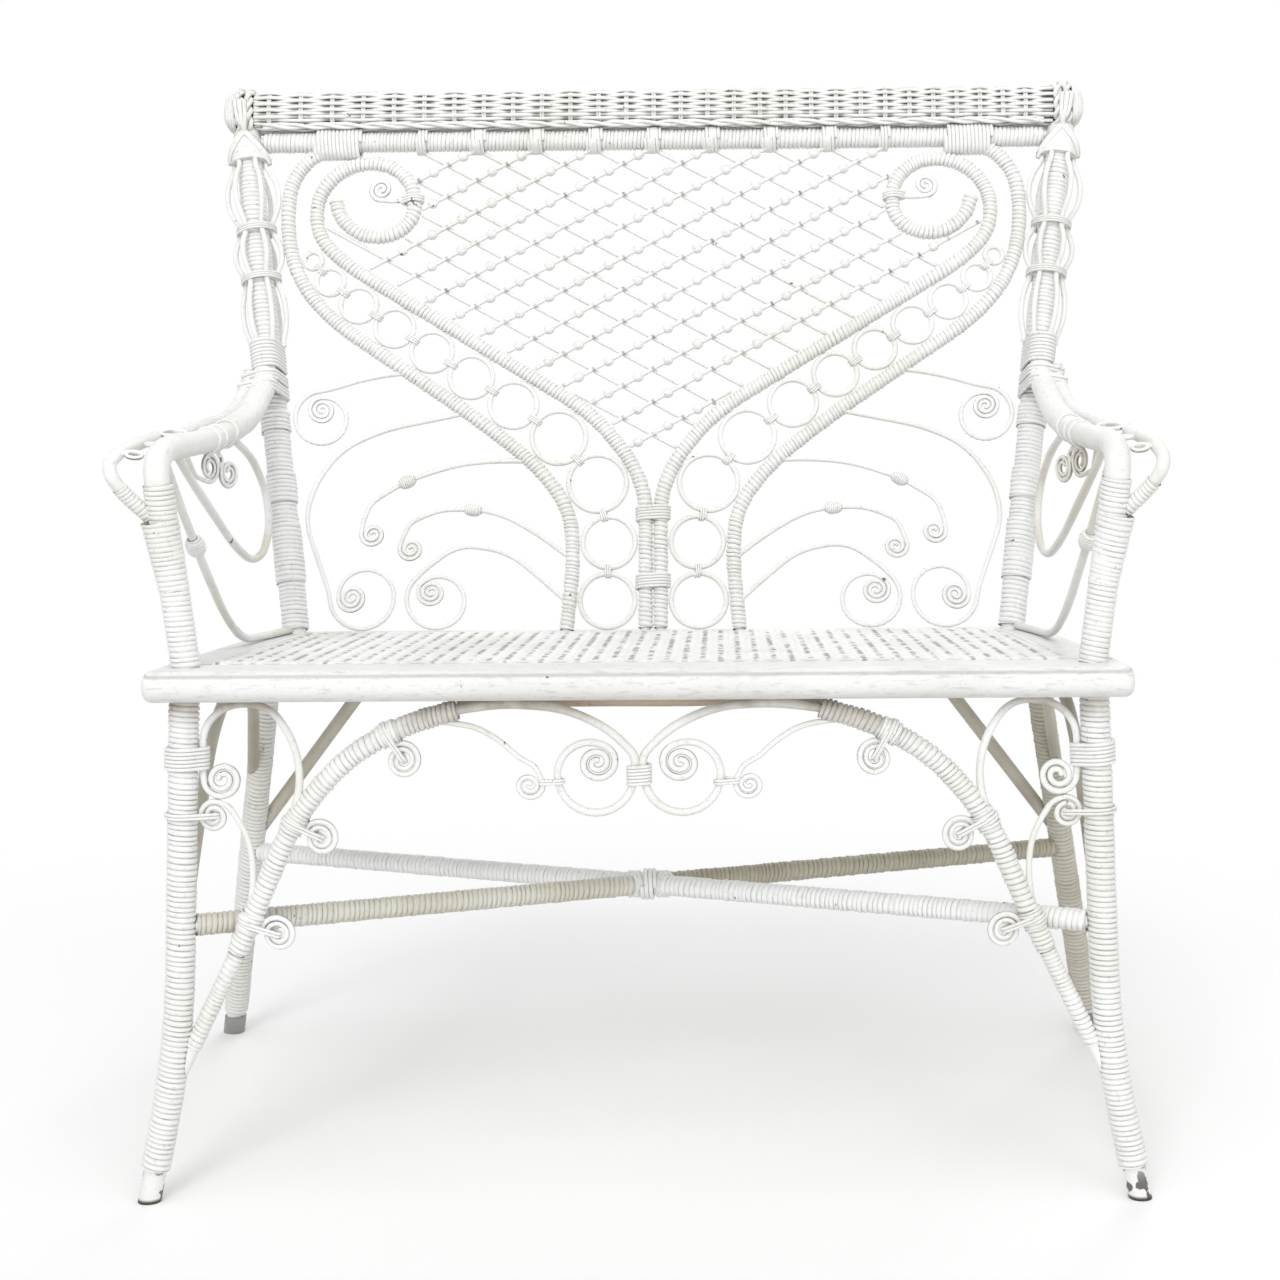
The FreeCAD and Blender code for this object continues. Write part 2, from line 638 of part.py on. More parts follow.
spring, inset = mm("side_arch_spring"), mm("side_arch_inset")
side_arch = rod([arch_front, arch_front + V(-inset, leg_R, spring), under_rail(0.28 * mm("rear_leg_y")),
                 under_rail(0.72 * mm("rear_leg_y")), arch_rear + V(-inset, -leg_R, spring), arch_rear],
                side_arch_r)
side_arch = cope(side_arch, front_leg_block, rear_leg_block)
add_node("side_arches", both([side_arch]))

# Back posts, their caps, the top rail, the strip and the crest roll
cap_foot = crest_foot - mm("post_cap_height")
post = post_bar(-tenon, crest_foot - GAP, post_r)
post_hole = post_bar(-thick, crest_foot + thick, post_r + GAP)
post_wrap = post_bar(-thick, cap_foot - GAP, post_R).cut([post_hole, below_top])
post_block = post_bar(-thick, cap_foot, post_R + GAP)
cap_axis = on_post(crest_foot) - on_post(cap_foot)
cap_wide = post_R + mm("post_cap_flare")
post_cap = Part.makeCone(cap_wide, post_R, cap_axis.Length - GAP, on_post(cap_foot), cap_axis).cut(post_hole)
cap_block = Part.makeCone(cap_wide + GAP, post_R + GAP, cap_axis.Length, on_post(cap_foot), cap_axis)
cap_blocks = [cap_block, flip(cap_block)]


def across_back(up, radius, out=0.0):
    return bar(panel(-post_x(up), up, out), panel(post_x(up), up, out), radius)


def notch(rail, rail_reach, roll, roll_reach):
    """Where a rod rests against a rail and a roll, as (out, up), from their axes and its reach from each."""
    out, up = roll[0] - rail[0], roll[1] - rail[1]
    apart = math.hypot(out, up)
    along = (rail_reach ** 2 - roll_reach ** 2 + apart ** 2) / (2 * apart)
    ahead = math.sqrt(rail_reach ** 2 - along ** 2)
    return rail[0] + (out * along + up * ahead) / apart, rail[1] + (up * along - out * ahead) / apart


top_rail_r = mm("top_rail_core") / 2
top_rail = cope(across_back(rise, top_rail_r), *cap_blocks)
top_wrap = cope(across_back(rise, top_rail_R), *cap_blocks).cut(across_back(rise, top_rail_r + GAP))
top_rail_block = across_back(rise, top_rail_R + GAP)
strip_r = mm("strip_rod") / 2
crest_edge = (mm("crest_depth") / 2 - mm("crest_round"), crest_foot + mm("crest_round"))
strip_out, strip_up = notch((0, rise), top_rail_R + strip_r + GAP,
                            crest_edge, mm("crest_round") + strip_r + GAP)
strip = cope(across_back(strip_up, strip_r, strip_out), *cap_blocks)
add_pair("back_post", post)
add_node("post_wraps", both([post_wrap]))
add_node("post_caps", both([post_cap]))
add_node("back_top_rail", top_rail)
add_node("top_rail_wrap", top_wrap)
add_node("crest_strip", strip)

crest_body = doc.addObject("PartDesign::Body", "crest_roll")
crest_sketch = sketch_on(crest_body, "YZ_Plane", "crest_section")
crest_half_depth, crest_half = mm("crest_depth") / 2, mm("crest_height") / 2
crest_corners = [V(-crest_half_depth, -crest_half, 0), V(crest_half_depth, -crest_half, 0),
                 V(crest_half_depth, crest_half, 0), V(-crest_half_depth, crest_half, 0)]
for corner, following in zip(crest_corners, crest_corners[1:] + crest_corners[:1]):
    crest_sketch.addGeometry(Part.LineSegment(corner, following), False)
for line in range(4):
    crest_sketch.addConstraint(Sketcher.Constraint("Coincident", line, 2, (line + 1) % 4, 1))
for constraint in (("Horizontal", 0), ("Vertical", 1), ("Horizontal", 2), ("Vertical", 3),
                   ("Symmetric", 0, 1, 2, 1, -1, 1)):
    crest_sketch.addConstraint(Sketcher.Constraint(*constraint))
hold(crest_sketch, "sizes.crest_depth", "DistanceX", 0, 1, 0, 2, mm("crest_depth"))
hold(crest_sketch, "sizes.crest_height", "DistanceY", 1, 1, 1, 2, mm("crest_height"))
crest_pad = pad(crest_body, crest_sketch, "sizes.crest_length", symmetric=True)
doc.recompute()
crest_round = crest_body.newObject("PartDesign::Fillet", "crest_rounding")
crest_round.Base = (crest_pad, ["Edge%d" % (i + 1) for i in range(len(crest_pad.Shape.Edges))])
crest_round.setExpression("Radius", "sizes.crest_round")
crest_turn = FreeCAD.Rotation(V(1, 0, 0), -mm("back_lean"))
crest_place = FreeCAD.Placement(panel(0, crest_foot + crest_half), crest_turn)
crest_body.Placement = crest_place
add_node("crest_roll", crest_body)


def crest_section(grow, start, length):
    """A length of the crest's rounded section, grown all round."""
    depth, height = mm("crest_depth") + 2 * grow, mm("crest_height") + 2 * grow
    block = Part.makeBox(length, depth, height, V(start, -depth / 2, -height / 2))
    along = [e for e in block.Edges if abs(e.Vertexes[0].X - e.Vertexes[-1].X) > 1e-6]
    block = block.makeFillet(mm("crest_round") + grow, along)
    block.Placement = crest_place
    return block


band_start = mm("crest_length") / 2 - mm("crest_round") - mm("crest_band")
crest_band = crest_section(mm("crest_band_wall"), band_start, mm("crest_band"))
crest_band = crest_band.cut([crest_section(GAP, 0, FAR), cap_block, top_rail_block,
                             across_back(strip_up, strip_r + GAP, strip_out)])
add_node("crest_ends", both([largest(crest_band)]))

# Cages of thin reed round the post tops, with their ties and the bindings that hold the arms
reed_r = mm("cage_reed") / 2
waist = post_R + reed_r + GAP
cage_levels = [mm("cage_bottom"), mm("cage_waist_low"), mm("cage_waist_high"), cap_foot - GAP]
bulges = [0.55, 0.75, 1.0]
side_of_post = post_axis.cross(panel_out).normalize()


def cage_reed(angle):
    """One reed of a cage: out and back in between the waists."""
    outward = side_of_post * math.cos(angle) + panel_out * math.sin(angle)

    def off_post(up, out):
        return on_post(up) + outward * (waist + out)

    points = [off_post(cage_levels[0], 0)]
    for low, high, bulge in zip(cage_levels, cage_levels[1:], bulges):
        reach, span = bulge * mm("cage_bulge"), high - low
        points += [off_post(low + 0.08 * span, 0), off_post(low + 0.34 * span, reach),
                   off_post(low + 0.66 * span, reach), off_post(high - 0.08 * span, 0)]
    return rod(points + [off_post(cage_levels[-1], 0)], reed_r)


cage_reeds = [cage_reed(math.radians(30 + 60 * k)) for k in range(6)]
ties = []
for level in cage_levels[1:3]:
    half_tie = mm("tie_width") / 2
    tie = post_bar(level - half_tie, level + half_tie, waist + reed_r + mm("tie_wall"))
    inside = post_bar(level - thick, level + thick, waist + reed_r + GAP)
    ties.append(largest(tie.cut(inside).cut(cage_reeds)))
add_node("cage_reeds", both(cage_reeds))
add_node("cage_ties", both(ties))


def arm_binding():
    """A flat-sided collar round a back post and the arm pole's upper end."""
    wall = post_R + mm("tie_wall")
    length = on_post(binding_top) - on_post(binding_foot)
    near = bar(on_post(binding_foot), on_post(binding_top), wall)
    ahead = panel_out * arm_off_post
    far = bar(on_post(binding_foot) + ahead, on_post(binding_top) + ahead, arm_r + mm("tie_wall"))
    reach = side_of_post * (arm_r + mm("tie_wall"))
    base = on_post(binding_foot)
    web = Part.Face(Part.makePolygon([base - reach, base + reach, base + reach + ahead, base - reach + ahead,
                                      base - reach])).extrude(length)
    return near.fuse([far, web]).cut([post_block, arm_block])


binding = largest(arm_binding())
add_pair("arm_pole", cope(arm_pole, post_block))
add_node("arm_post_wraps", both([largest(arm_wrap)]))

# V bands: wrapped rods that meet in a paired stem, with snail ends under the top rail
v_r = mm("v_core") / 2
v_R = v_r + mm("v_wrap")
stem_x = v_R + GAP / 2
v_outer_route = [on_back(*spot) for spot in (
    (75.9, 98.7), (83.6, 97.7), (90.2, 91.8), (92.4, 81.3), (90.6, 71.1), (83.0, 62.7), (46.6, 42.4),
    (31.1, 32.9), (22.5, 24.1), (21.8, 14.3), (24.6, -2.0))]
v_inner_route = [panel(stem_x, -2 * v_R), panel(stem_x, mm("stem_height"))] + [on_back(*spot) for spot in (
    (5.8, 33.7), (16.0, 43.2), (78.0, 74.2), (85.0, 80.3), (83.8, 89.1), (76.3, 95.0), (65.8, 95.8),
    (59.2, 90.6), (60.2, 83.2), (66.5, 79.8), (74.0, 80.2), (78.6, 84.0), (79.3, 87.5))]
v_outer_edges, v_inner_edges = rounded_edges(v_outer_route), rounded_edges(v_inner_route)
v_outer_wire, v_inner_wire = Part.Wire(v_outer_edges), Part.Wire(v_inner_edges)
v_outer_block, v_inner_block = tube(v_outer_edges, v_R + GAP), tube(v_inner_edges, v_R + GAP)
v_ends = [below_top, top_rail_block]
add_pair("v_outer", cope(tube(v_outer_edges, v_r), *v_ends))
add_pair("v_inner", cope(tube(v_inner_edges, v_r), below_top))
outer_wrap = cope(sleeve(v_outer_edges, v_r + GAP, v_R), *v_ends)
inner_wrap = cope(sleeve(v_inner_edges, v_r + GAP, v_R), below_top)
add_node("v_wraps", both([outer_wrap, inner_wrap]))

# Rings that fill the space between the V bands, as large as it lets them be
ring_r = mm("ring_reed") / 2
ring_top = 0.84 * rise


def distance(point, shape):
    return Part.Vertex(point).distToShape(shape)[0]


def ring_spots():
    """Centres and outer radii of the rings, from the seat upwards, each touching the last."""
    spots = []
    for point in reversed(v_outer_wire.discretize(Distance=2.0)):
        across = Part.Vertex(point).distToShape(v_inner_wire)[1][0][1]
        centre = (point + across) * 0.5
        room = min(distance(centre, v_outer_wire), distance(centre, v_inner_wire))
        radius = room - v_R - GAP
        up = (centre - panel_foot).dot(panel_up)
        if spots:
            fits = (centre - spots[-1][0]).Length >= radius + spots[-1][1] + GAP
        else:
            fits = up >= radius + 2 * GAP
        if fits and radius >= mm("ring_least") and up <= ring_top:
            spots.append((centre, radius))
    return spots


for side, label in ((-1, "ring_chain_left"), (1, "ring_chain_right")):
    chain = doc.addObject("Part::Compound", label)
    rings = []
    for count, (centre, radius) in enumerate(ring_spots()):
        ring = doc.addObject("Part::Torus", "%s_%d" % (label, count))
        ring.Radius1 = radius - ring_r
        ring.setExpression("Radius2", "sizes.ring_reed / 2")
        ring.Placement = FreeCAD.Placement(V(side * centre.x, centre.y, centre.z),
                                           FreeCAD.Rotation(V(0, 0, 1), panel_out))
        rings.append(ring)
    chain.Links = rings
    add_node(label, chain)

# Diagonal lattice above the V, two layers deep, with beads on the rising reeds
reed = mm("lattice_reed") / 2
slant = math.radians(mm("lattice_angle"))
rising = panel_across * math.cos(slant) + panel_up * math.sin(slant)
layer = reed + GAP / 2
lattice_top = rise - top_rail_R - GAP
end_room = v_R + GAP + reed
v_sides = Part.makeCompound([v_inner_wire, flip(v_inner_wire)])
snail_side = 0.56 * post_x(rise)


def reach_end(seed, direction):
    """Follows a lattice line from a point inside the V to where it meets a band or the top rail."""
    spot = seed
    for step in range(200):
        to_rail = (lattice_top - (spot - panel_foot).dot(panel_up)) / math.sin(slant)
        room = distance(spot, v_sides) - end_room
        if direction.dot(panel_up) > 0:
            room = min(room, to_rail - reed / math.tan(slant))
        if room < 0.02:
            break
        spot = spot + direction * room
    return spot


def lattice_lines():
    """End points of the rising reeds that fit inside the V."""
    lines = []
    pitch = mm("lattice_pitch")
    count = int(2 * rise / pitch)
    for k in range(-count, count + 1):
        up_at_middle = 0.62 * rise + (k + 0.5) * pitch * math.tan(slant)
        seed_up = min(up_at_middle, lattice_top - 3 * reed)
        seed_x = (seed_up - up_at_middle) / math.tan(slant)
        seed = panel(seed_x, seed_up)
        if abs(seed_x) > snail_side or distance(seed, v_sides) < end_room or seed_up < stem_fork:
            continue
        ends = reach_end(seed, rising * -1), reach_end(seed, rising)
        if (ends[1] - ends[0]).Length > pitch / 2:
            lines.append(ends)
    return lines


stem_fork = mm("stem_height") + 2 * v_R
lines = lattice_lines()
rising_reeds = [bar(low + panel_out * layer, high + panel_out * layer, reed) for low, high in lines]
falling_reeds = [flip(bar(low - panel_out * layer, high - panel_out * layer, reed)) for low, high in lines]
add_node("lattice_rising", Part.makeCompound(rising_reeds))
add_node("lattice_falling", Part.makeCompound(falling_reeds))

bead_r = mm("bead") / 2
bead = Part.makeSphere(bead_r).cut(Part.makeCylinder(reed + GAP, 4 * bead_r, V(0, 0, -2 * bead_r)))
half_cell = mm("lattice_pitch") / 4
beads = []
for low, high in lines:
    first = math.ceil((low.x + bead_r) / (2 * half_cell) - 0.5)
    last = math.floor((high.x - bead_r) / (2 * half_cell) - 0.5)
    for cell in range(first, last + 1):
        x = (cell + 0.5) * 2 * half_cell
        spot = low + rising * ((x - low.x) / rising.x) + panel_out * layer
        if distance(spot, v_sides) < v_R + bead_r + GAP:
            continue
        copy = bead.copy()
        copy.Placement = FreeCAD.Placement(spot, FreeCAD.Rotation(V(0, 0, 1), rising))
        beads.append(copy)
add_node("lattice_beads", Part.makeCompound(beads))


def winding(first, rod_radius):
    """Radii of the half turns of a close flat spiral."""
    radii = [first]
    while radii[-1] > 2.3 * rod_radius + 2 * GAP:
        radii.append(radii[-1] - rod_radius - 2 * GAP)
    return radii


def eye(ring, coil, rod_radius):
    """Radii of the half turns of an open ring that ends in a close spiral."""
    return [ring, 0.85 * ring] + winding(coil, rod_radius)


def scroll_edges(route, centre, across, up, radii, start_angle, turn, lead, spans=()):
    """A rod's route that runs tangentially into a flat spiral."""
    angle = math.radians(start_angle)
    begin = centre + (across * math.cos(angle) + up * math.sin(angle)) * radii[0]
    tangent = (across * -math.sin(angle) + up * math.cos(angle)) * turn
    return rounded_edges(route + [begin - tangent * lead, begin]) + coil_edges(
        centre, across, up, radii, start_angle, turn, spans)


# Scrolls between the V bands and the posts, and the small coils in the snail ends
scroll_r = mm("scroll_rod") / 2
coil_r = mm("coil_rod") / 2
coil_out = mm("coil_size") - scroll_r
scroll_ring = mm("scroll_ring")
back_scrolls = (
    (((62.8, 52.0), (73.6, 51.0)), (87.4, 42.9), eye(0.9 * scroll_ring, coil_out, scroll_r), 85),
    (((49.1, 43.6), (60.2, 41.9), (71.6, 40.2), (83.3, 36.3), (91.3, 29.1), (94.6, 22.0)), (80.8, 6.9),
     eye(1.04 * scroll_ring, coil_out, scroll_r), -5),
    (((32.6, 33.7), (42.2, 33.9), (52.7, 33.1), (66.2, 30.0), (76.5, 25.5)), (76.8, 19.3),
     winding(coil_out, scroll_r), 15),
    (((22.9, 14.5), (31.9, 19.5), (42.9, 23.9), (57.3, 24.3), (66.0, 21.6)), (66.6, 16.4),
     winding(coil_out, scroll_r), 25),
    (((23.8, 5.7), (30.8, 10.3), (39.7, 15.7), (53.1, 17.3)), (60.2, 6.5),
     eye(0.96 * scroll_ring, coil_out, scroll_r), 50),
)
scroll_routes = [scroll_edges([on_back(*spot) for spot in spots], on_back(*centre), panel_across, panel_up,
                              radii, angle, -1, 4 * scroll_r)
                 for spots, centre, radii, angle in back_scrolls]
scrolls = [cope(coil_tube(edges, scroll_r), v_outer_block, post_block, below_top) for edges in scroll_routes]
knob_spots = [(scroll_routes[2], on_back(66.2, 29.8)), (scroll_routes[3], on_back(48.8, 24.0))]


def knob_on(edges, near, radius, rod_radius):
    """A turned knob threaded on a rod at its point nearest to a spot."""
    edge = min(edges, key=lambda e: e.distToShape(Part.Vertex(near))[0])
    spot = edge.distToShape(Part.Vertex(near))[1][0][0]
    along = edge.tangentAt(edge.Curve.parameter(spot))
    bore = Part.makeCylinder(rod_radius + 2 * GAP, 4 * radius, V(0, 0, -2 * radius))
    knob = Part.makeSphere(radius).cut(bore)
    knob.Placement = FreeCAD.Placement(spot, FreeCAD.Rotation(V(0, 0, 1), along))
    return knob


knobs = [knob_on(edges, near, mm("back_knob") / 2, scroll_r) for edges, near in knob_spots]
add_pair("back_scrolls", Part.makeCompound(scrolls))


def coil_beside(wire, near, off, plane_up, size, rod_radius):
    """A flat coil that rests against a rod: its centre keeps clear of the rod's axis by off and its size."""
    on_wire = wire.distToShape(Part.Vertex(near))[1][0][0]
    outward = (near - on_wire).normalize()
    centre = on_wire + outward * (off + size + GAP)
    radii = winding(size - rod_radius, rod_radius)
    return coil_tube(coil_edges(centre, outward, plane_up, radii, 0, 1), rod_radius)


snail_size = mm("coil_size") - coil_r
snail_centre = on_back(67.8, 89.7)
snail_stem = v_inner_wire.distToShape(Part.Vertex(on_back(60.0, 87.8)))[1][0][0]
snail_edges = scroll_edges([snail_stem], snail_centre, panel_across, panel_up, winding(snail_size, coil_r),
                           270, 1, snail_size)
add_node("snail_coils", both([cope(coil_tube(snail_edges, coil_r), v_inner_block)]))


def stem_tie(low, high):
    """A flat-sided collar round the two rods of the stem."""
    wall = v_R + mm("tie_wall")
    rods = [bar(panel(side * stem_x, low), panel(side * stem_x, high), wall) for side in (-1, 1)]
    corners = [panel(-stem_x, low, -wall), panel(stem_x, low, -wall), panel(stem_x, low, wall),
               panel(-stem_x, low, wall)]
    web = Part.Face(Part.makePolygon(corners + corners[:1])).extrude(panel_up * (high - low))
    return rods[0].fuse([rods[1], web]).cut([v_inner_block, flip(v_inner_block)])


stem_band = mm("arm_binding_height") / 2
stem_ties = [largest(stem_tie(level * mm("stem_height"), level * mm("stem_height") + stem_band))
             for level in (0.3, 0.8)]
add_node("stem_ties", Part.makeCompound(stem_ties))

# Front apron: arches from the legs to the middle, scrolls and coils
arch_r = mm("arch_core") / 2
arch_R = arch_r + mm("arch_wrap")
apron_r = mm("apron_rod") / 2
apron_across, apron_up = V(1, 0, 0), V(0, 0, 1)
apron_top = seat_under(0) - GAP
arch_meet = V(0.4 * mm("front_leg_span") / 2, 0, apron_top - arch_R)
arch_spots = ((104.0, 25.5), (88.5, 53.0), (76.5, 77.0), (64.5, 88.8), (51.5, 95.0))
arch_route = [on_apron(*spot) for spot in arch_spots] + [arch_meet]
arch_edges = rounded_edges(arch_route)
arch_wire = Part.Wire(arch_edges)
arch = cope(tube(arch_edges, arch_r), front_leg_block)
arch_sleeve = sleeve(arch_edges, arch_r + GAP, arch_R)
under_seat = seat_under(0)
arch_wrap = largest(arch_sleeve.common(slab(0.5 * under_seat, under_seat)))
arch_block = tube(arch_edges, arch_R + GAP)

apron_ring = mm("apron_ring")
ring_x = apron_ring + apron_r + GAP / 2
ring_centre = V(ring_x, 0, apron_top - 0.15 * under_seat)
ring_radii = [apron_ring, 0.86 * apron_ring] + winding(0.44 * apron_ring, apron_r)
middle_route = [arch_meet, V(0.75 * arch_meet.x, 0, apron_top - apron_r),
                V(0.42 * arch_meet.x, 0, apron_top - 1.8 * apron_r),
                V(0.165 * arch_meet.x, 0, apron_top - 0.8 * apron_ring)]
middle_scroll = scroll_edges(middle_route, ring_centre, apron_across, apron_up, ring_radii, 180, 1,
                             0.5 * apron_ring, (180, 120))
branch_centre = V(0.60 * arch_meet.x, 0, ring_centre.z - 2 * apron_r)
branch_radii = winding(mm("coil_size") - coil_r, coil_r)
branch_spots = ((44.0, 95.6), (36.0, 94.6), (30.5, 91.8), (26.2, 88.2))
branch = scroll_edges([on_apron(*spot) for spot in branch_spots], branch_centre,
                      apron_across, apron_up, branch_radii, 150, 1, 3 * apron_r)
apron_scrolls = [coil_tube(middle_scroll, apron_r),
                 cope(coil_tube(branch, coil_r), arch_block, tube(middle_scroll, apron_r + GAP))]
add_pair("front_arch", arch)
add_node("arch_wraps", both([arch_wrap]))

coil_spots = [on_apron(52.0, 88.0), on_apron(69.0, 72.0), on_apron(81.0, 54.0)]
apron_coils = []
for near in coil_spots:
    inward = (near - arch_wire.distToShape(Part.Vertex(near))[1][0][0]).normalize()
    around = V(0, -1, 0).cross(inward)
    apron_coils.append(coil_beside(arch_wire, near, arch_R, around, mm("apron_coil"), coil_r))
add_node("apron_coils", both(apron_coils))
add_node("apron_scrolls", both(apron_scrolls))

# Corner scrolls between the front legs and the arches
corner_r = mm("corner_rod") / 2
hug = leg_R + corner_r + GAP


def by_leg(share, off):
    """A point off the inner side of a front leg, at a share of the height under the seat."""
    return front_leg_at(share * under_seat) - V(off, 0, 0)


corner_top = apron_top - corner_r
upper_spots = ((78.0, 73.0), (74.6, 84.0), (76.0, 92.0))
upper_route = [on_apron(*spot) for spot in upper_spots]
upper_route += [V(0.815 * leg_top.x, 0, corner_top), V(0.905 * leg_top.x, 0, corner_top),
                by_leg(0.95, hug), by_leg(0.88, hug)]
upper_centre = by_leg(0.845, leg_R + mm("apron_coil") + 2 * GAP)
upper_edges = scroll_edges(upper_route, upper_centre, apron_across, apron_up,
                           winding(mm("apron_coil") - corner_r, corner_r), -15, -1, corner_r)
upper_scroll = cope(coil_tube(upper_edges, corner_r), arch_block, front_leg_block)
lower_coil_size = mm("coil_size")
lower_centre = by_leg(0.775, leg_R + lower_coil_size + GAP)
lower_route = [on_apron(87.5, 56.0), on_apron(85.8, 65.0), on_apron(86.6, 73.0)]
lower_edges = scroll_edges(lower_route, lower_centre, apron_across, apron_up,
                           winding(lower_coil_size - coil_r, coil_r), 120, -1, 3 * coil_r)
lower_scroll = cope(coil_tube(lower_edges, coil_r), arch_block)
add_node("corner_scrolls", both([upper_scroll, lower_scroll]))

leg_band = bar(front_leg_at(0.865 * under_seat), front_leg_at(0.91 * under_seat), leg_R + mm("tie_wall"))
leg_band = leg_band.cut([front_leg_block, tube(upper_edges, corner_r + GAP)])
add_node("pole_bindings", both([binding, largest(leg_band)]))
add_node("leg_wraps", both(leg_wraps))

# Arms: outer rods, oval loops between the rods, side scrolls with their knobs
outer_r = mm("outer_rod") / 2
outer_x = arm_x + mm("outer_reach")


def by_arm(side, along, drop):
    """A point by the outer arm rod's line: out from it, along the run in hundredths, and below the rail."""
    return V(outer_x + side, along / 100 * mm("arm_run"), arm_top - drop)


beside_arm = arm_r + outer_r + GAP
outer_route = [beside_post(binding_foot - GAP, beside_arm), beside_post(binding_foot - arm_r, beside_arm),
               V(arm_x + mm("arm_bow") + beside_arm + 1, mm("arm_run"), arm_top + mm("arm_rear_lift")),
               by_arm(0, 56, -12), by_arm(0.5, 28, -9), by_arm(4, 3, 1), by_arm(8, -4, 14),
               by_arm(-2, -1, 34), V(arm_x, arm_foot.y, arm_top - 62)]
outer_edges = rounded_edges(outer_route)
outer_wire = Part.Wire(outer_edges)
arm_wire = Part.Wire(arm_edges(0))
arm_outer = cope(tube(outer_edges, outer_r), arm_post_block, post_block, arm_block)
add_pair("arm_outer_rod", arm_outer)

loop_r = mm("loop_reed") / 2
loop_slack = 1.0


def nearest_on(wire, point):
    return wire.distToShape(Part.Vertex(point))[1][0][0]


def oval_loop(y):
    """A flat oval of reed that fills the gap between the arm pole and the outer rod."""
    on_arm = nearest_on(arm_wire, V(arm_x, y, arm_top))
    reach = nearest_on(outer_wire, on_arm) - on_arm
    room = reach.Length - arm_r - outer_r - 2 * GAP - loop_slack
    bend = room / 2 - loop_r
    half = mm("loop_length") / 2 - loop_r - bend
    across = reach.normalize()
    along = (V(0, 1, 0) - across * across.y).normalize()
    centre = on_arm + across * (arm_r + GAP + room / 2)
    inner, outer, end = across * -bend, across * bend, along * half
    edges = [Part.LineSegment(centre + inner - end, centre + inner + end).toShape(),
             Part.Arc(centre + inner + end, centre + end + along * bend, centre + outer + end).toShape(),
             Part.LineSegment(centre + outer + end, centre + outer - end).toShape(),
             Part.Arc(centre + outer - end, centre - end - along * bend, centre + inner - end).toShape()]
    return tube(edges, loop_r)


add_node("arm_loops", both([oval_loop(share * mm("arm_run")) for share in (0.19, 0.31, 0.43, 0.55)]))

arm_rod_r = mm("arm_rod") / 2
arm_rise = mm("arm_rise")


def on_side(along, up, inset=0.0):
    """A point under the arm, in hundredths of the arm's run and of its rise above the seat."""
    y = along / 100 * mm("arm_run")
    base = arm_foot.x + (arm_x - arm_foot.x) * up / 100
    return V(base - inset, y, seat_top(y) + up / 100 * arm_rise)


loop_route = [on_side(70, 110), on_side(84, 105), on_side(98, 97), on_side(108, 80), on_side(108, 62),
              on_side(98, 47), on_side(82, 42), on_side(64, 52), on_side(46, 70), on_side(28, 88),
              on_side(20, 98)]
rest = (arm_rod_r + GAP) / arm_rise * 100
s_route = [on_side(8, 96), on_side(16, 76), on_side(28, 50), on_side(45, 18), on_side(60, rest + 1.5),
           on_side(80, rest, 2), on_side(102, rest, 12)]
arm_cutters = [arm_block, post_block, arm_post_block]
loop_rod = cope(rod(loop_route, arm_rod_r), *arm_cutters)
s_rod = cope(rod(s_route, arm_rod_r), *arm_cutters)
s_knob = knob_on(rounded_edges(s_route), on_side(26, 54), mm("arm_knob") / 2, arm_rod_r)
coil_facing = V(-0.35, 0.94, 0).normalize()
arm_coil_size = mm("apron_coil")
hang = V(arm_x, 0.5 * mm("arm_run"), arm_top - 2 * arm_r)
hang_on = nearest_on(arm_wire, hang)
hang_centre = hang_on + (hang - hang_on).normalize() * (arm_r + arm_coil_size + GAP)
side_coils = []
for centre, turn in ((hang_centre, -1), (hang_centre + coil_facing * (2 * arm_coil_size + GAP), 1)):
    radii = winding(arm_coil_size - coil_r, coil_r)
    coil = coil_edges(centre, coil_facing, V(0, 0, 1), radii, 90, turn)
    side_coils.append(coil_tube(coil, coil_r).cut(arm_block))
add_node("arm_scrolls", both([loop_rod, s_rod] + side_coils))
add_node("scroll_knobs", both(knobs + [s_knob]))

# The origin goes under the middle of the bench, then everything is checked and written
doc.recompute()
total = Part.makeCompound([obj.Shape for obj in nodes]).optimalBoundingBox(False)
shift = FreeCAD.Placement(V(0, -(total.YMin + total.YMax) / 2, 0), FreeCAD.Rotation())
for obj in nodes:
    obj.Placement = shift.multiply(obj.Placement)
doc.recompute()

for obj in doc.Objects:
    if "Invalid" in obj.State or "Error" in obj.State:
        raise RuntimeError("%s failed: %s" % (obj.Label, obj.State))
for obj in nodes:
    if obj.Shape.isNull() or not obj.Shape.isValid() or not obj.Shape.Solids:
        raise RuntimeError("%s has no valid solid" % obj.Label)

os.makedirs("parts", exist_ok=True)
for obj in nodes:
    obj.Shape.exportStep("parts/%s.step" % obj.Label)
    print("%-20s %3d solids %10.0f mm3" % (obj.Label, len(obj.Shape.Solids), obj.Shape.Volume))
print("%d nodes, box %s, least gap between coil turns %.2f" % (len(nodes), total, min(coil_gaps)))
print("coil gaps", ", ".join("%.2f" % gap for gap in coil_gaps))
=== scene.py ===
"""Aged white wicker settee: reed wraps, weaves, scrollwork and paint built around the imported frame.

Lengths are millimetres in the bench's own frame: X across, Y back from the front legs, Z up from the
floor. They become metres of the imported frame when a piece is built.
"""
import math

import bpy
import numpy as np
from mathutils import Matrix, Vector


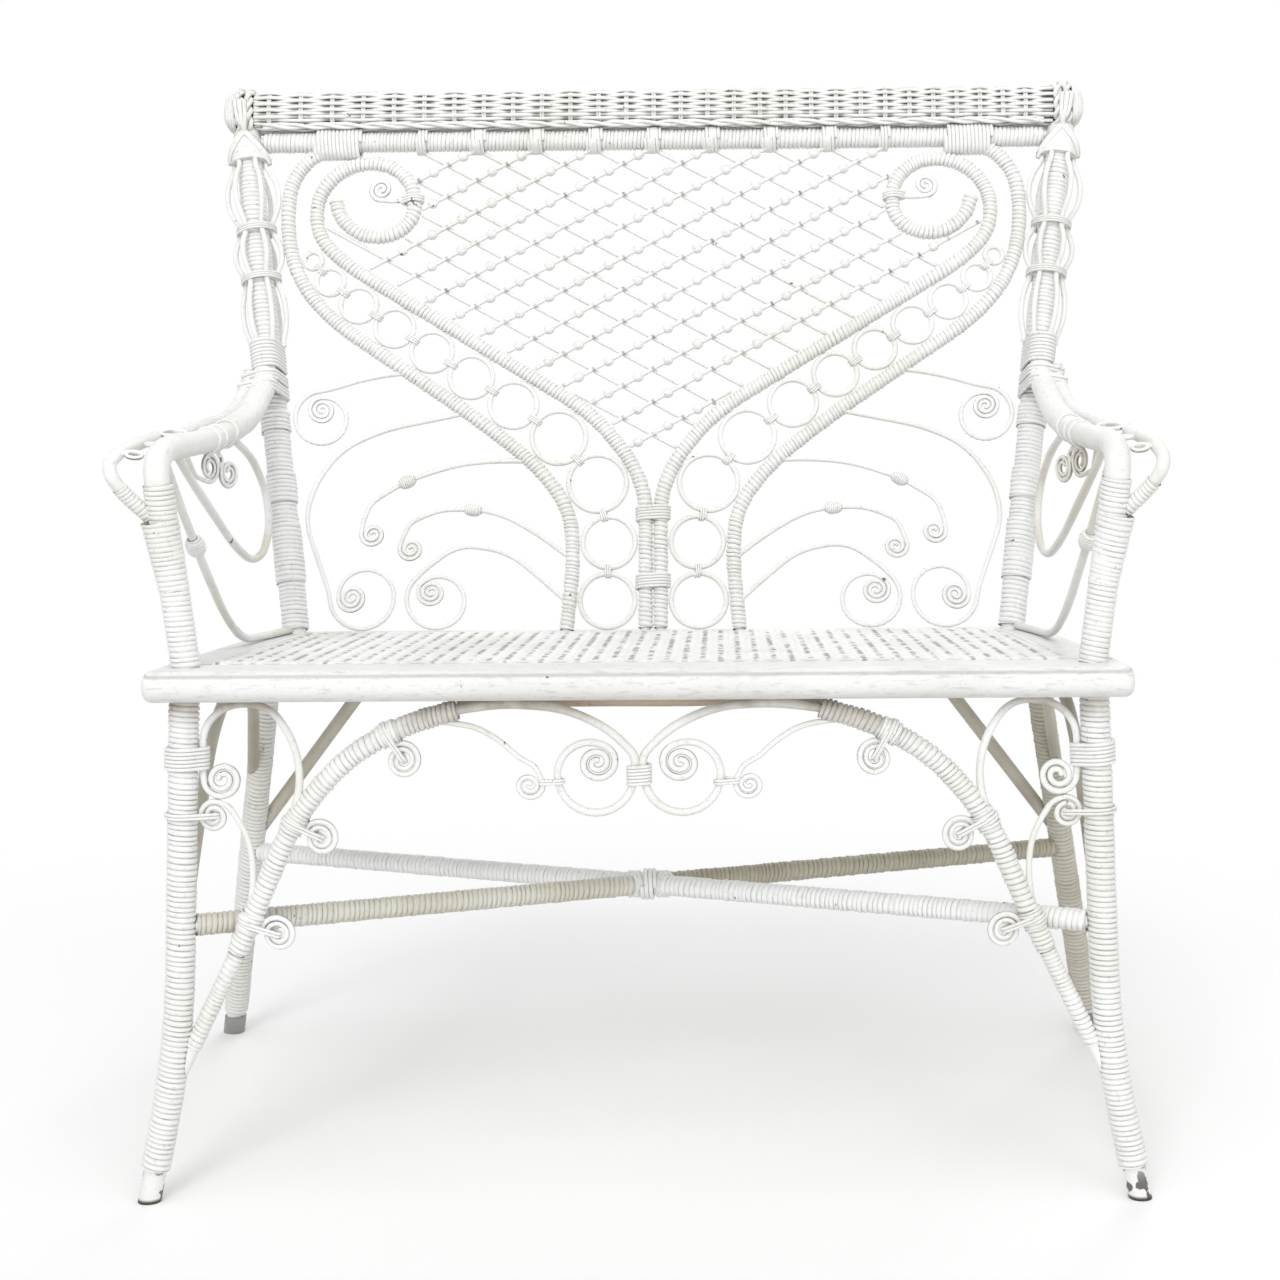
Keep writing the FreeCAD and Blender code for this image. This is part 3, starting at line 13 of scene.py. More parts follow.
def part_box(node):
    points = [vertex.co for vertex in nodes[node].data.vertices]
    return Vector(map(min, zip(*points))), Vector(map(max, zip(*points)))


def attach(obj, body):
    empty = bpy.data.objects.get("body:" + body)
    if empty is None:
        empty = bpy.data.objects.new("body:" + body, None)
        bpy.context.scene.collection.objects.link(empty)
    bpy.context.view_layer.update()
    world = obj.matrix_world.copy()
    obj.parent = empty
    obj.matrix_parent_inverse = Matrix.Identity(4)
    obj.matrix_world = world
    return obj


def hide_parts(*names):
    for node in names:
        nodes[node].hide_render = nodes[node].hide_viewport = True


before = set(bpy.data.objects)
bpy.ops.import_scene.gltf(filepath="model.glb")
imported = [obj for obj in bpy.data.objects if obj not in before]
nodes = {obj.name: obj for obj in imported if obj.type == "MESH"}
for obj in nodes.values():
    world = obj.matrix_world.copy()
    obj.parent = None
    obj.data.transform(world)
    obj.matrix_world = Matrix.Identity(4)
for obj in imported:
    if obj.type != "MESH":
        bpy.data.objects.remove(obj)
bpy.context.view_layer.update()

MM = 0.001
chance = np.random.default_rng(20)
leg_low, leg_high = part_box("front_leg_left")
FRONT_Y = (leg_low.y + leg_high.y) / 2


def vec(x, y, z):
    return np.array((x, y, z), float)


def unit(v):
    return v / np.linalg.norm(v)


def lengths(rows):
    return np.linalg.norm(rows, axis=1)


def spoke(across, up, angle):
    """The direction at an angle in the plane of two directions."""
    return across * math.cos(angle) + up * math.sin(angle)


def even_angles(count):
    return np.linspace(0, math.tau, count, endpoint=False)


# Main sizes, as in the solids
SEAT_HEIGHT, SEAT_THICK, SLOPE = 451.0, 26.0, math.radians(1.8)
LEAN, FLARE, RISE = math.radians(17), math.tan(math.radians(7.4)), 523.0
POST_HALF, POST_Y, POST_R = 357.0, 375.0, 13.5
LEG_R, LEG_CORE, BARE_FOOT = 12.5, 9.5, 28.0
LEG_HALF, KNEE_HALF, KNEE_HEIGHT, FOOT_HALF = 372.0, 386.0, 138.0, 416.0
REAR_Y, REAR_FOOT_HALF, REAR_FOOT_Y = 318.0, 457.0, 474.0
V_CORE, V_R, STEM_HEIGHT = 4.5, 7.5, 140.0
RAIL_R, RAIL_REED = 10.5, 2.8
STRETCHER_CORE, STRETCHER_R, STRETCHER_FRONT, STRETCHER_REAR = 7.0, 9.5, 236.0, 214.0
ARM_R, ARM_WRAPPED = 10.5, 12.3
ARCH_CORE, ARCH_R = 6.0, 9.0
TOUCH = 0.2
CREST_FOOT = RISE + RAIL_R + TOUCH
CREST_HALF_HEIGHT, CREST_HALF_DEPTH, CREST_HALF = 22.0, 21.0, 450.0
CAP_HEIGHT = 34.0
CAP_FOOT = CREST_FOOT - CAP_HEIGHT
CAGE_LEVELS = (298.0, 372.0, 425.0, CAP_FOOT)
ACROSS, UP = vec(1, 0, 0), vec(0, 0, 1)
FLIP = vec(-1, 1, 1)


def seat_top(y):
    return SEAT_HEIGHT - y * math.tan(SLOPE)


def seat_under(y):
    return seat_top(y) - SEAT_THICK / math.cos(SLOPE)


PANEL_FOOT = vec(0, POST_Y, seat_top(POST_Y))
PANEL_UP = vec(0, math.sin(LEAN), math.cos(LEAN))
PANEL_OUT = vec(0, -math.cos(LEAN), math.sin(LEAN))
UNDER = seat_under(0)


def panel(x, up, out=0.0):
    """A point of the leaning back: across, up from the seat and out towards the sitter."""
    return PANEL_FOOT + ACROSS * x + PANEL_UP * up + PANEL_OUT * out


def post_x(up):
    return POST_HALF + up * FLARE


def on_back(p, q):
    """A point of the back in hundredths of the way to the post and of the rise."""
    up = q / 100 * RISE
    return panel(p / 100 * post_x(up), up)


def on_post(up, out=0.0):
    return panel(post_x(up), up, out)


def on_apron(p, q):
    """A point of the front plane in hundredths of the half leg span and of the height under the seat."""
    return vec(p / 100 * LEG_HALF, 0, q / 100 * UNDER)


LEG_TOP, KNEE, FOOT = vec(LEG_HALF, 0, UNDER), vec(KNEE_HALF, 0, KNEE_HEIGHT), vec(FOOT_HALF, 0, 0)
REAR_TOP, REAR_FOOT = vec(LEG_HALF, REAR_Y, seat_under(REAR_Y)), vec(REAR_FOOT_HALF, REAR_FOOT_Y, 0)
POST_AXIS = unit(on_post(RISE) - on_post(0))


def front_leg_at(z):
    return LEG_TOP + (KNEE - LEG_TOP) * ((LEG_TOP[2] - z) / (LEG_TOP[2] - KNEE[2]))


def rear_leg_at(z):
    return REAR_FOOT + (REAR_TOP - REAR_FOOT) * (z / REAR_TOP[2])


def each(place, spots):
    """The points at several spots, by the function that places one."""
    return [place(*spot) for spot in spots]


# Lines
def run_along(path):
    """How far along a line each of its points lies."""
    return np.concatenate(([0], np.cumsum(lengths(np.diff(path, axis=0)))))


def resample(path, step):
    """The same line with points about a step apart."""
    path = np.asarray(path, float)
    run = run_along(path)
    at = np.linspace(0, run[-1], max(int(round(run[-1] / step)), 2) + 1)
    return np.stack([np.interp(at, run, path[:, k]) for k in range(3)], 1)


def route(points, share=0.5):
    """A line along straight runs, with its corners rounded as far as the runs allow."""
    points = [np.asarray(p, float) for p in points]
    line = [points[0]]
    for before, corner, after in zip(points, points[1:], points[2:]):
        reach = share * min(np.linalg.norm(before - corner), np.linalg.norm(after - corner))
        enter, leave = corner + unit(before - corner) * reach, corner + unit(after - corner) * reach
        for t in np.linspace(0, 1, 9):
            line.append(enter * (1 - t) ** 2 + corner * (2 * t * (1 - t)) + leave * t ** 2)
    return resample(line + [points[-1]], 2.0)


def turns(centre, across, up, radii, start_angle, turn, spans=()):
    """Arcs of the radii that wind inwards from a start angle: half circles, or the spans given in degrees."""
    angle, hub, last, line = math.radians(start_angle), centre, radii[0], []
    for count, radius in enumerate(radii):
        span = turn * math.radians(spans[count] if count < len(spans) else 180)
        hub = hub + spoke(across, up, angle) * (last - radius)
        line += [hub + spoke(across, up, angle + span * t) * radius for t in np.linspace(0, 1, 15)[:-1]]
        angle, last = angle + span, radius
    return line + [hub + spoke(across, up, angle) * last]


def winding(first, step, last):
    """Radii of the half turns of a close flat spiral."""
    return list(np.arange(first, last, -step))


def scroll(points, centre, across, up, radii, start_angle, turn, lead, spans=()):
    """A rod's line that runs into a flat spiral."""
    spiral = turns(centre, across, up, radii, start_angle, turn, spans)
    ahead = unit(spiral[1] - spiral[0])
    run = route(list(points) + [spiral[0] - ahead * lead, spiral[0]])
    return resample(np.concatenate((run[:-1], spiral)), 1.4)


def nearest_index(path, point):
    return np.argmin(lengths(path - point))


def nearest(path, point):
    """The point of a line that lies nearest to a point."""
    return path[nearest_index(path, point)]


def distance(points, path):
    """Distance from each point to a line."""
    return np.linalg.norm(points[:, None] - path[None], axis=2).min(1)


def off_axis(axis):
    """A main direction that lies well off an axis."""
    return UP if abs(axis[2]) < 0.9 else ACROSS


def cross_axes(axis):
    """Two directions that are square to an axis and to each other."""
    a = unit(np.cross(axis, off_axis(axis)))
    return a, np.cross(axis, a)


def frames(path):
    """Tangents and two cross directions that turn as little as possible along a line."""
    ahead = np.gradient(path, axis=0)
    ahead /= lengths(ahead)[:, None]
    side = np.zeros_like(ahead)
    first = off_axis(ahead[0])
    current = unit(first - ahead[0] * (first @ ahead[0]))
    for i, t in enumerate(ahead):
        current = current - t * (current @ t)
        current /= math.sqrt(current @ current)
        side[i] = current
    return ahead, side, np.cross(ahead, side)


# Pieces
class Piece:
    """Collects the surfaces of one piece in millimetres and builds it as a mesh that rides on the bench."""

    def __init__(self):
        self.points, self.polygons, self.gaps, self.tones, self.size = [], [], [], [], 0

    def add(self, points, polygons, gap=0.0, tone=0.5):
        points = np.asarray(points, float)
        self.points.append(points)
        self.polygons += [np.asarray(p, int) + self.size for p in polygons]
        self.gaps.append(np.broadcast_to(gap, len(points)))
        self.tones.append(np.broadcast_to(tone, len(points)))
        self.size += len(points)

    def build(self, name, material, slot, *replaced):
        mesh = bpy.data.meshes.new(name)
        points = np.concatenate(self.points) * MM + vec(0, FRONT_Y, 0)
        corners = np.concatenate([p.ravel() for p in self.polygons])
        counts = np.concatenate([np.full(len(p), p.shape[1]) for p in self.polygons])
        mesh.vertices.add(len(points))
        mesh.vertices.foreach_set("co", points.ravel())
        mesh.loops.add(len(corners))
        mesh.loops.foreach_set("vertex_index", corners)
        mesh.polygons.add(len(counts))
        mesh.polygons.foreach_set("loop_start", np.concatenate(([0], np.cumsum(counts)[:-1])))
        mesh.update(calc_edges=True)
        for label, values in (("gap", self.gaps), ("tone", self.tones)):
            attribute = mesh.attributes.new(label, "FLOAT", "POINT")
            attribute.data.foreach_set("value", np.concatenate(values).astype(np.float32))
        mesh.validate()
        mesh.shade_smooth()
        mesh.materials.append(material)
        piece = bpy.data.objects.new(name, mesh)
        bpy.context.scene.collection.objects.link(piece)
        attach(piece, "root")
        if replaced:
            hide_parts(*replaced)


def tube(rows, sides, closed=False):
    """Polygons of a tube of rings, with its two ends unless it closes on itself."""
    i, j = np.meshgrid(np.arange(rows if closed else rows - 1), np.arange(sides), indexing="ij")
    following, beside = (i + 1) % rows, (j + 1) % sides
    quads = np.stack((i * sides + j, i * sides + beside,
                      following * sides + beside, following * sides + j), -1).reshape(-1, 4)
    if closed:
        return [quads]
    return [quads, np.arange(sides)[None, ::-1], np.arange((rows - 1) * sides, rows * sides)[None]]


def sweep(piece, path, radius, sides=10, closed=False, gap=0.0, plane=None):
    """A rod along a line. The radius may change along it, and open ends are rounded off.

    Where a rod bends tighter than about 15 to 20 mm in a plane, given by its normal, the flanks get painted
    shade.
    """
    path = np.asarray(path, float)
    radius = np.broadcast_to(np.asarray(radius, float), len(path)).copy()
    gap = np.broadcast_to(np.asarray(gap, float), len(path)).copy()
    if not closed:
        first = path[0] + unit(path[0] - path[1]) * radius[0] * 0.4
        last = path[-1] + unit(path[-1] - path[-2]) * radius[-1] * 0.4
        path = np.concatenate(([first], path, [last]))
        radius = np.concatenate(([radius[0] * 0.55], radius, [radius[-1] * 0.55]))
        gap = np.concatenate((gap[:1], gap, gap[-1:]))
    ahead, side, other = frames(path)
    angle = even_angles(sides)[None, :, None]
    ring = side[:, None] * np.cos(angle) + other[:, None] * np.sin(angle)
    points = (path[:, None] + ring * radius[:, None, None]).reshape(-1, 3)
    spread = np.repeat(gap, sides)
    if plane is not None:
        step = np.maximum(lengths(np.gradient(path, axis=0)), 0.01)
        wound = np.clip(60 * lengths(np.gradient(ahead, axis=0)) / step - 3, 0, 1)
        # Painted shade on the flanks of tight bends.
        flank = np.clip(1.42 - 1.5 * abs(ring @ plane), 0, 1)
        spread = np.maximum(spread, (flank * wound[:, None]).ravel())
    piece.add(points, tube(len(path), sides, closed), spread, chance.uniform())


def twist(piece, path, strand, pitch, closed=False):
    """Two strands twisted round each other along a line."""
    steps = 16
    path = resample(path, pitch / steps)
    count = len(path) - 1
    full_turns = round(count / steps) if closed else count / steps
    path = path[:-1] if closed else path
    ahead, side, other = frames(path)
    turn = math.tau * full_turns * np.arange(len(path))[:, None] / count
    for half in (0, math.pi):
        off = side * np.cos(turn + half) + other * np.sin(turn + half)
        sweep(piece, path + off * strand, strand, 8, closed=closed)


def rod(piece, points, radius, sides=10):
    """A slightly uneven rod through some points."""
    path = route(points)
    taper(piece, path, radius, radius, sides)
    return path


def taper(piece, path, start, end, sides=10, plane=None, gap=0.0):
    """A rod along a line whose radius goes from start to end, with the slight swellings of cane."""
    along = np.linspace(0, 1, len(path))
    swell = 1 + 0.035 * np.sin(along * len(path) * 0.11 + chance.uniform(0, 6))
    sweep(piece, path, (start + (end - start) * along) * swell, sides, gap=gap, plane=plane)


RINGS, LOOP = 6, 28
BEAD_STRETCH, BEAD_SIDES, BEAD_ROWS = 1.08, 14, 9


def wrap(piece, path, core, reed, pitch, sides, uneven=1.0):
    """Close turns of reed wound round a line: RINGS rows of the mesh to a turn run along the helix."""
    path = resample(path, pitch / 2)
    run = run_along(path)
    core = np.interp(run, np.linspace(0, run[-1], len(np.atleast_1d(core))), np.atleast_1d(core))
    frame_parts = np.concatenate([path] + list(frames(path)[1:]), 1)
    count = max(int(round(run[-1] / pitch)), 2)
    widths = 1 + 0.17 * uneven * chance.uniform(-1, 1, count)
    starts = np.concatenate(([0], np.cumsum(widths))) * run[-1] / widths.sum()
    rows = np.arange(0, (count + 1) * RINGS + 1)
    angle = even_angles(sides)
    phase = rows[:, None] / RINGS - angle[None] / math.tau
    inside = (phase >= 0) & (phase <= count)
    at = np.interp(phase, np.arange(count + 1), starts)
    here = np.stack([np.interp(at, run, frame_parts[:, k]) for k in range(9)], -1)
    bump = np.sqrt(np.clip(1 - abs(2 * (rows / RINGS % 1) - 1) ** 2.4, 0, 1))
    turn = np.minimum(rows // RINGS, count)
    height = reed * (1 + 0.10 * uneven * chance.uniform(-1, 1, count + 1)[turn])
    radius = np.interp(at, run, core) + (height * (0.38 + 0.62 * bump))[:, None]
    ring = here[..., 3:6] * np.cos(angle)[None, :, None] + here[..., 6:9] * np.sin(angle)[None, :, None]
    points = here[..., :3] + ring * radius[..., None]
    i, j = np.meshgrid(np.arange(len(rows) - 1), np.arange(sides), indexing="ij")
    beside = (j + 1) % sides
    back = np.where(j == sides - 1, RINGS, 0)
    quads = np.stack((i * sides + j, (i - back) * sides + beside, (i + 1 - back) * sides + beside,
                      (i + 1) * sides + j), -1).reshape(-1, 4)
    quads = quads[(i - back >= 0).ravel()]
    quads = quads[inside.ravel()[quads].any(1)]
    used, quads = np.unique(quads, return_inverse=True)
    tones = chance.uniform(0, 1, count + 1)[turn]
    # Darker between the turns: dirt and painted shade in the creases.
    crease = (1 - bump) * chance.uniform(0.72, 1.0, count + 1)[turn]
    spread = np.broadcast_to(crease[:, None], phase.shape).ravel()[used]
    piece.add(points.reshape(-1, 3)[used], [quads.reshape(-1, 4)], spread,
              np.broadcast_to(tones[:, None], phase.shape).ravel()[used])


def wound_knob(piece, line, spot, reach, radius, reed, pitch, sides):
    """A knob of reed wound round a rod at its point nearest to a spot, over a reach in points."""
    at = nearest_index(line, spot)
    swell = radius * np.sqrt(1 - np.linspace(-0.97, 0.97, 2 * reach + 1) ** 2) + 1.6
    wrap(piece, line[at - reach:at + reach + 1], swell, reed, pitch, sides)


def bind(piece, rods, axis, reed, count):
    """Turns of reed bound tightly round rods, given as (point, radius) pairs with a common axis."""
    axis = unit(axis)
    centre = np.mean([point for point, radius in rods], 0)
    a, b = cross_axes(axis)
    circles = [((point - centre) @ a, (point - centre) @ b, radius + reed) for point, radius in rods]
    outline = []
    for angle in np.linspace(0, math.tau, 33):
        n = math.cos(angle), math.sin(angle)
        x, y, r = max(circles, key=lambda c: c[0] * n[0] + c[1] * n[1] + c[2])
        outline.append((x + r * n[0], y + r * n[1], 0))
    loop = resample(outline, lengths(np.diff(outline, axis=0)).sum() / LOOP)
    t = np.arange(0, count * LOOP + 1)
    spot = loop[t % LOOP]
    lift = (t / LOOP - count / 2) * 2 * reed
    path = centre + a * spot[:, :1] + b * spot[:, 1:2] + axis * lift[:, None]
    sweep(piece, path, reed, 8)


def ball(piece, centre, radius, axis):
    """A bead: a closed round surface, a little longer along its axis."""
    axis = unit(axis)
    a, b = cross_axes(axis)
    points = [centre - axis * (radius * BEAD_STRETCH * math.cos(p)) + spoke(a, b, t) * (radius * math.sin(p))
              for p in np.linspace(0.05, math.pi - 0.05, BEAD_ROWS) for t in even_angles(BEAD_SIDES)]
    piece.add(points, tube(BEAD_ROWS, BEAD_SIDES), 0.0, chance.uniform())


# Materials
class Shading:
    """The nodes of a material or of the world."""

    def __init__(self, owner):
        owner.use_nodes = True
        self.tree, self.nodes = owner.node_tree, owner.node_tree.nodes

    def put(self, socket, value):
        """Feeds an input from another node, or with a colour or a number."""
        if isinstance(value, bpy.types.NodeSocket):
            self.tree.links.new(value, socket)
        else:
            socket.default_value = value + (1.0,) if isinstance(value, tuple) else value

    def node(self, kind, feeds=None, **settings):
        """A new node with its settings, and with what goes into its inputs."""
        made = self.nodes.new("ShaderNode" + kind)
        for key, value in settings.items():
            setattr(made, key, value)
        for key, value in (feeds or {}).items():
            self.put(made.inputs[key], value)
        return made

    def math(self, operation, first, second):
        return self.node("Math", {0: first, 1: second}, operation=operation).outputs["Value"]

    def times(self, first, second):
        return self.math("MULTIPLY", first, second)

    def ranged(self, value, low, high, to_low=0.0, to_high=1.0):
        """A value mapped smoothly from one range to another, and kept in it."""
        feeds = {"Value": value, "From Min": low, "From Max": high, "To Min": to_low, "To Max": to_high}
        return self.node("MapRange", feeds, interpolation_type="SMOOTHSTEP").outputs["Result"]

    def blend(self, share, under, over):
        return self.node("Mix", {"Factor": share, "A": under, "B": over}, data_type="RGBA").outputs["Result"]


SEAT_SHADE_AND_DIRT, CHIP, WORN_FOOT = (0.30, 0.25, 0.17), (0.07, 0.055, 0.04), (0.06, 0.05, 0.04)


def paint(name, colour, worn, grime_and_shade, deep_shade=None, chips=0.35, bare_below=0.0, shade_and_dirt_above=0.0,
          crease_depth=0.85, broken=False, scuffs=0.0, edge_shade=0.0):
    """Aged paint: two patchy tones, dirt and painted shade in the creases, painted shade on undersides, small
    chips.

    Creases may be broken into dashes. A rail may carry scuffs that run along it and a painted shade line
    along its upper edge. What hangs under the seat may be darker towards it: painted shade, with some dirt.
    """
    material = bpy.data.materials.new(name)
    shading = Shading(material)
    shader = shading.nodes["Principled BSDF"]
    ranged, times, blend = shading.ranged, shading.times, shading.blend
    place = shading.node("TexCoord").outputs["Object"]

    def noise(scale, detail=3.0, vector=place):
        return shading.node("TexNoise", {"Scale": scale, "Detail": detail, "Vector": vector}).outputs["Fac"]

    def attribute(label):
        return shading.node("Attribute", attribute_name=label).outputs["Fac"]

    def upright(vector):
        return shading.node("SeparateXYZ", {"Vector": vector}).outputs["Z"]

    facing, height = upright(shading.node("NewGeometry").outputs["Normal"]), upright(place)
    tint = blend(ranged(noise(9.0), 0.42, 0.68), colour, worn)
    tint = blend(ranged(attribute("tone"), 0.55, 1.0, 0.0, 0.35), tint, worn)
    # Painted shade: faces that turn downwards are darker.
    tint = blend(ranged(facing, -0.15, -0.95, 0.0, 0.30), tint, grime_and_shade)
    if broken:
        breaks = ranged(noise(60.0), 0.42, 0.58, 0.12, 1.0)
    else:
        breaks = ranged(noise(60.0), 0.30, 0.70, 0.15, 1.0)
    # Painted shade in the creases, with dirt in those of wound reed.
    crease = times(ranged(attribute("gap"), 0.35, 0.9), breaks)
    tint = blend(times(crease, crease_depth), tint, deep_shade or grime_and_shade)
    tint = blend(ranged(noise(240.0, 4.0), 0.56, 0.74, 0.0, 0.22), tint, grime_and_shade)
    # Painted shade under the seat, with some dirt: darker towards the seat's underside.
    if shade_and_dirt_above:
        near_seat = ranged(height, shade_and_dirt_above, UNDER * MM, 0.0, 0.85)
        tint = blend(times(near_seat, ranged(noise(35.0), 0.3, 0.7, 0.3, 1.0)), tint, SEAT_SHADE_AND_DIRT)
    # Painted shade line along the rounded upper edge of a rail.
    if edge_shade:
        shade_line = times(ranged(facing, 0.50, 0.64), ranged(facing, 0.84, 0.70))
        tint = blend(times(shade_line, edge_shade), tint, grime_and_shade)
    if scuffs:
        along = shading.node("Mapping", {"Vector": place})
        along.inputs["Scale"].default_value = (0.2, 1.0, 1.0)
        scratches = noise(330.0, 5.0, along.outputs["Vector"])
        tint = blend(ranged(scratches, 0.52, 0.70, 0.0, scuffs), tint, grime_and_shade)
    if bare_below:
        flake = times(ranged(noise(75.0, 4.0), 0.53, 0.56), ranged(height, bare_below, 0.25 * bare_below))
    else:
        flake = times(ranged(noise(130.0, 5.0), 0.715 - 0.06 * chips, 0.735 - 0.06 * chips),
                      ranged(noise(22.0), 0.52, 0.60))
    tint = blend(times(flake, 0.9), tint, CHIP)
    if bare_below:
        tint = blend(ranged(height, 0.10 * bare_below, 0.03 * bare_below), tint, WORN_FOOT)

    bump = shading.node("Bump", {"Strength": 0.35, "Distance": 0.0006, "Height": noise(520.0, 5.0)})
    for label, value in (("Base Color", tint), ("Roughness", ranged(noise(45.0), 0.3, 0.7, 0.42, 0.62)),
                         ("Specular IOR Level", 0.35), ("Normal", bump.outputs["Normal"])):
        shading.put(shader.inputs[label], value)
    return material


WHITE, CREAM = (0.86, 0.865, 0.855), (0.80, 0.795, 0.76)
# The grime colour also stands for painted shade in creases and under things; the darker one is painted deep
# shade in slots, coil flanks and crossings.
GRIME_AND_SHADE, DEEP_SHADE = (0.27, 0.255, 0.22), (0.085, 0.077, 0.065)
reed_paint = paint("reed_paint", WHITE, CREAM, GRIME_AND_SHADE)
fresh_paint = paint("fresh_paint", (0.88, 0.885, 0.875), WHITE, GRIME_AND_SHADE, crease_depth=0.68)
leg_paint = paint("leg_paint", WHITE, CREAM, GRIME_AND_SHADE, shade_and_dirt_above=0.40)
weave_paint = paint("weave_paint", WHITE, CREAM, GRIME_AND_SHADE, DEEP_SHADE, crease_depth=0.64)
rod_paint = paint("rod_paint", WHITE, CREAM, GRIME_AND_SHADE, DEEP_SHADE, chips=0.5)
apron_paint = paint("apron_paint", WHITE, CREAM, GRIME_AND_SHADE, DEEP_SHADE, chips=0.5, shade_and_dirt_above=0.398)
arch_paint = paint("arch_paint", WHITE, CREAM, GRIME_AND_SHADE, shade_and_dirt_above=0.378)
yellowed_paint = paint("yellowed_paint", (0.68, 0.665, 0.60), (0.60, 0.575, 0.49), (0.24, 0.205, 0.15))
arm_rod_paint = paint("arm_rod_paint", WHITE, (0.72, 0.69, 0.60), (0.25, 0.22, 0.16), DEEP_SHADE, chips=0.6)
# Painted shade: darker copies of the white paint for the rear leg wraps.
pale_shaded_paint = paint("pale_shaded_paint", (0.80, 0.80, 0.775), (0.70, 0.69, 0.645), (0.13, 0.12, 0.10))
dark_shaded_paint = paint("dark_shaded_paint", (0.61, 0.585, 0.51), (0.50, 0.475, 0.39), (0.13, 0.115, 0.09))
# Painted shade with dirt: brown paint for the rear right stretcher half.
brown_shade_and_dirt_paint = paint("brown_shade_and_dirt_paint", (0.48, 0.45, 0.36), (0.38, 0.35, 0.27), (0.11, 0.09, 0.065))
# Painted shade with thin old paint, for the side arches and braces under the seat.
worn_and_shaded_paint = paint("thin_old_paint_with_shade", (0.54, 0.515, 0.44), (0.40, 0.37, 0.295), (0.15, 0.125, 0.09), chips=0.7)
wood_paint = paint("wood_paint", WHITE, (0.81, 0.81, 0.79), (0.36, 0.34, 0.31), chips=0.3, scuffs=0.3)
rail_paint = paint("rail_paint", (0.80, 0.805, 0.795), (0.75, 0.75, 0.73), (0.34, 0.32, 0.29), chips=0.3,
                   scuffs=0.3, edge_shade=0.5)
cane_paint = paint("cane_paint", WHITE, (0.78, 0.78, 0.75), GRIME_AND_SHADE, DEEP_SHADE, crease_depth=0.66, broken=True)
bare_wood = paint("bare_wood", (0.56, 0.45, 0.345), (0.46, 0.36, 0.27), (0.20, 0.15, 0.10), chips=0.7)
foot_paint = paint("foot_paint", WHITE, CREAM, GRIME_AND_SHADE, bare_below=0.05)
shade_paint = paint("shaded_core", (0.24, 0.225, 0.20), (0.18, 0.165, 0.14), (0.08, 0.07, 0.06))
cap_metal = paint("cap_metal", (0.36, 0.36, 0.355), (0.22, 0.215, 0.205), (0.10, 0.09, 0.08), chips=1.0)
cap_metal.node_tree.nodes["Principled BSDF"].inputs["Metallic"].default_value = 0.7

# Wrapped poles
LEFT, RIGHT = FLIP, vec(1, 1, 1)
SIDES = (LEFT, RIGHT)
POST_REED = 3.3
POST_BANDS = ((51, 111), (133, 164), (208, 229))
front_leg = route([LEG_TOP, KNEE, FOOT], 0.48)
front_leg = front_leg[front_leg[:, 2] > BARE_FOOT]
rear_leg = resample([rear_leg_at(BARE_FOOT), REAR_TOP], 2)
post = resample([on_post(3), on_post(CAP_FOOT)], 2)
legs, posts = Piece(), Piece()
# Painted shade: the rear leg wraps are darker than the white paint, the right one darker still.
for side, word, finish in ((LEFT, "left", pale_shaded_paint), (RIGHT, "right", dark_shaded_paint)):
    rear_wrap = Piece()
    wrap(rear_wrap, rear_leg * side, LEG_CORE, LEG_R - LEG_CORE, 4.6, 18)
    rear_wrap.build("rear_" + word + "_leg_reed_wrap", finish, "reed_wrap", "leg_wraps")
for side in SIDES:
    wrap(legs, front_leg * side, LEG_CORE, LEG_R - LEG_CORE, 4.5, 20)
    wrap(posts, post * side, POST_R - POST_REED, POST_REED, 4.5, 20)
    for low, high in POST_BANDS:
        wrap(posts, np.array([on_post(low), on_post(high)]) * side, POST_R - 1.4, 3.2, 4.6, 20)
legs.build("front_leg_reed_wraps", leg_paint, "reed_wrap", "leg_wraps")
posts.build("post_reed_wraps", fresh_paint, "reed_wrap", "post_wraps")

rail_half = post_x(RISE) - POST_R - 5
top_rail = Piece()
wrap(top_rail, [panel(-rail_half, RISE), panel(rail_half, RISE)], RAIL_R - RAIL_REED, RAIL_REED, 4.1, 18)
top_rail.build("top_rail_reed_wrap", reed_paint, "reed_wrap", "top_rail_wrap")

CROTCH, CROSS_OFF = 17.0, 13.0
cross_front, cross_rear = front_leg_at(STRETCHER_FRONT), rear_leg_at(STRETCHER_REAR) * FLIP
crossing = cross_front + (cross_rear - cross_front) * (cross_front[0] / (cross_front[0] - cross_rear[0]))
along = unit(cross_rear - cross_front)
# The rear right stretcher half is darker: painted shade with dirt.
for name, side, end, finish in (
        ("front_right", RIGHT, cross_front, fresh_paint), ("rear_left", RIGHT, cross_rear, fresh_paint),
        ("front_left", LEFT, cross_front, yellowed_paint), ("rear_right", LEFT, cross_rear, brown_shade_and_dirt_paint)):
    stretcher = Piece()
    inward = unit(crossing - end)
    wrap(stretcher, np.array([end + inward * LEG_R, crossing - inward * CROTCH]) * side,
         STRETCHER_CORE, STRETCHER_R - STRETCHER_CORE, 4.7, 16, uneven=1.6)
    stretcher.build("stretcher_wrap_" + name, finish, "reed_wrap", "stretcher_wraps")
cross_tie = Piece()
bind(cross_tie, [(crossing, 10.6)], ACROSS, 2.0, 3)
for slant in (along, along * FLIP):
    for off in (-CROSS_OFF, CROSS_OFF):
        bind(cross_tie, [(crossing + ACROSS * off, 8.6)], slant, 1.9, 3)
cross_tie.build("stretcher_crossing_tie", reed_paint, "reed_wrap", "stretcher_binding")

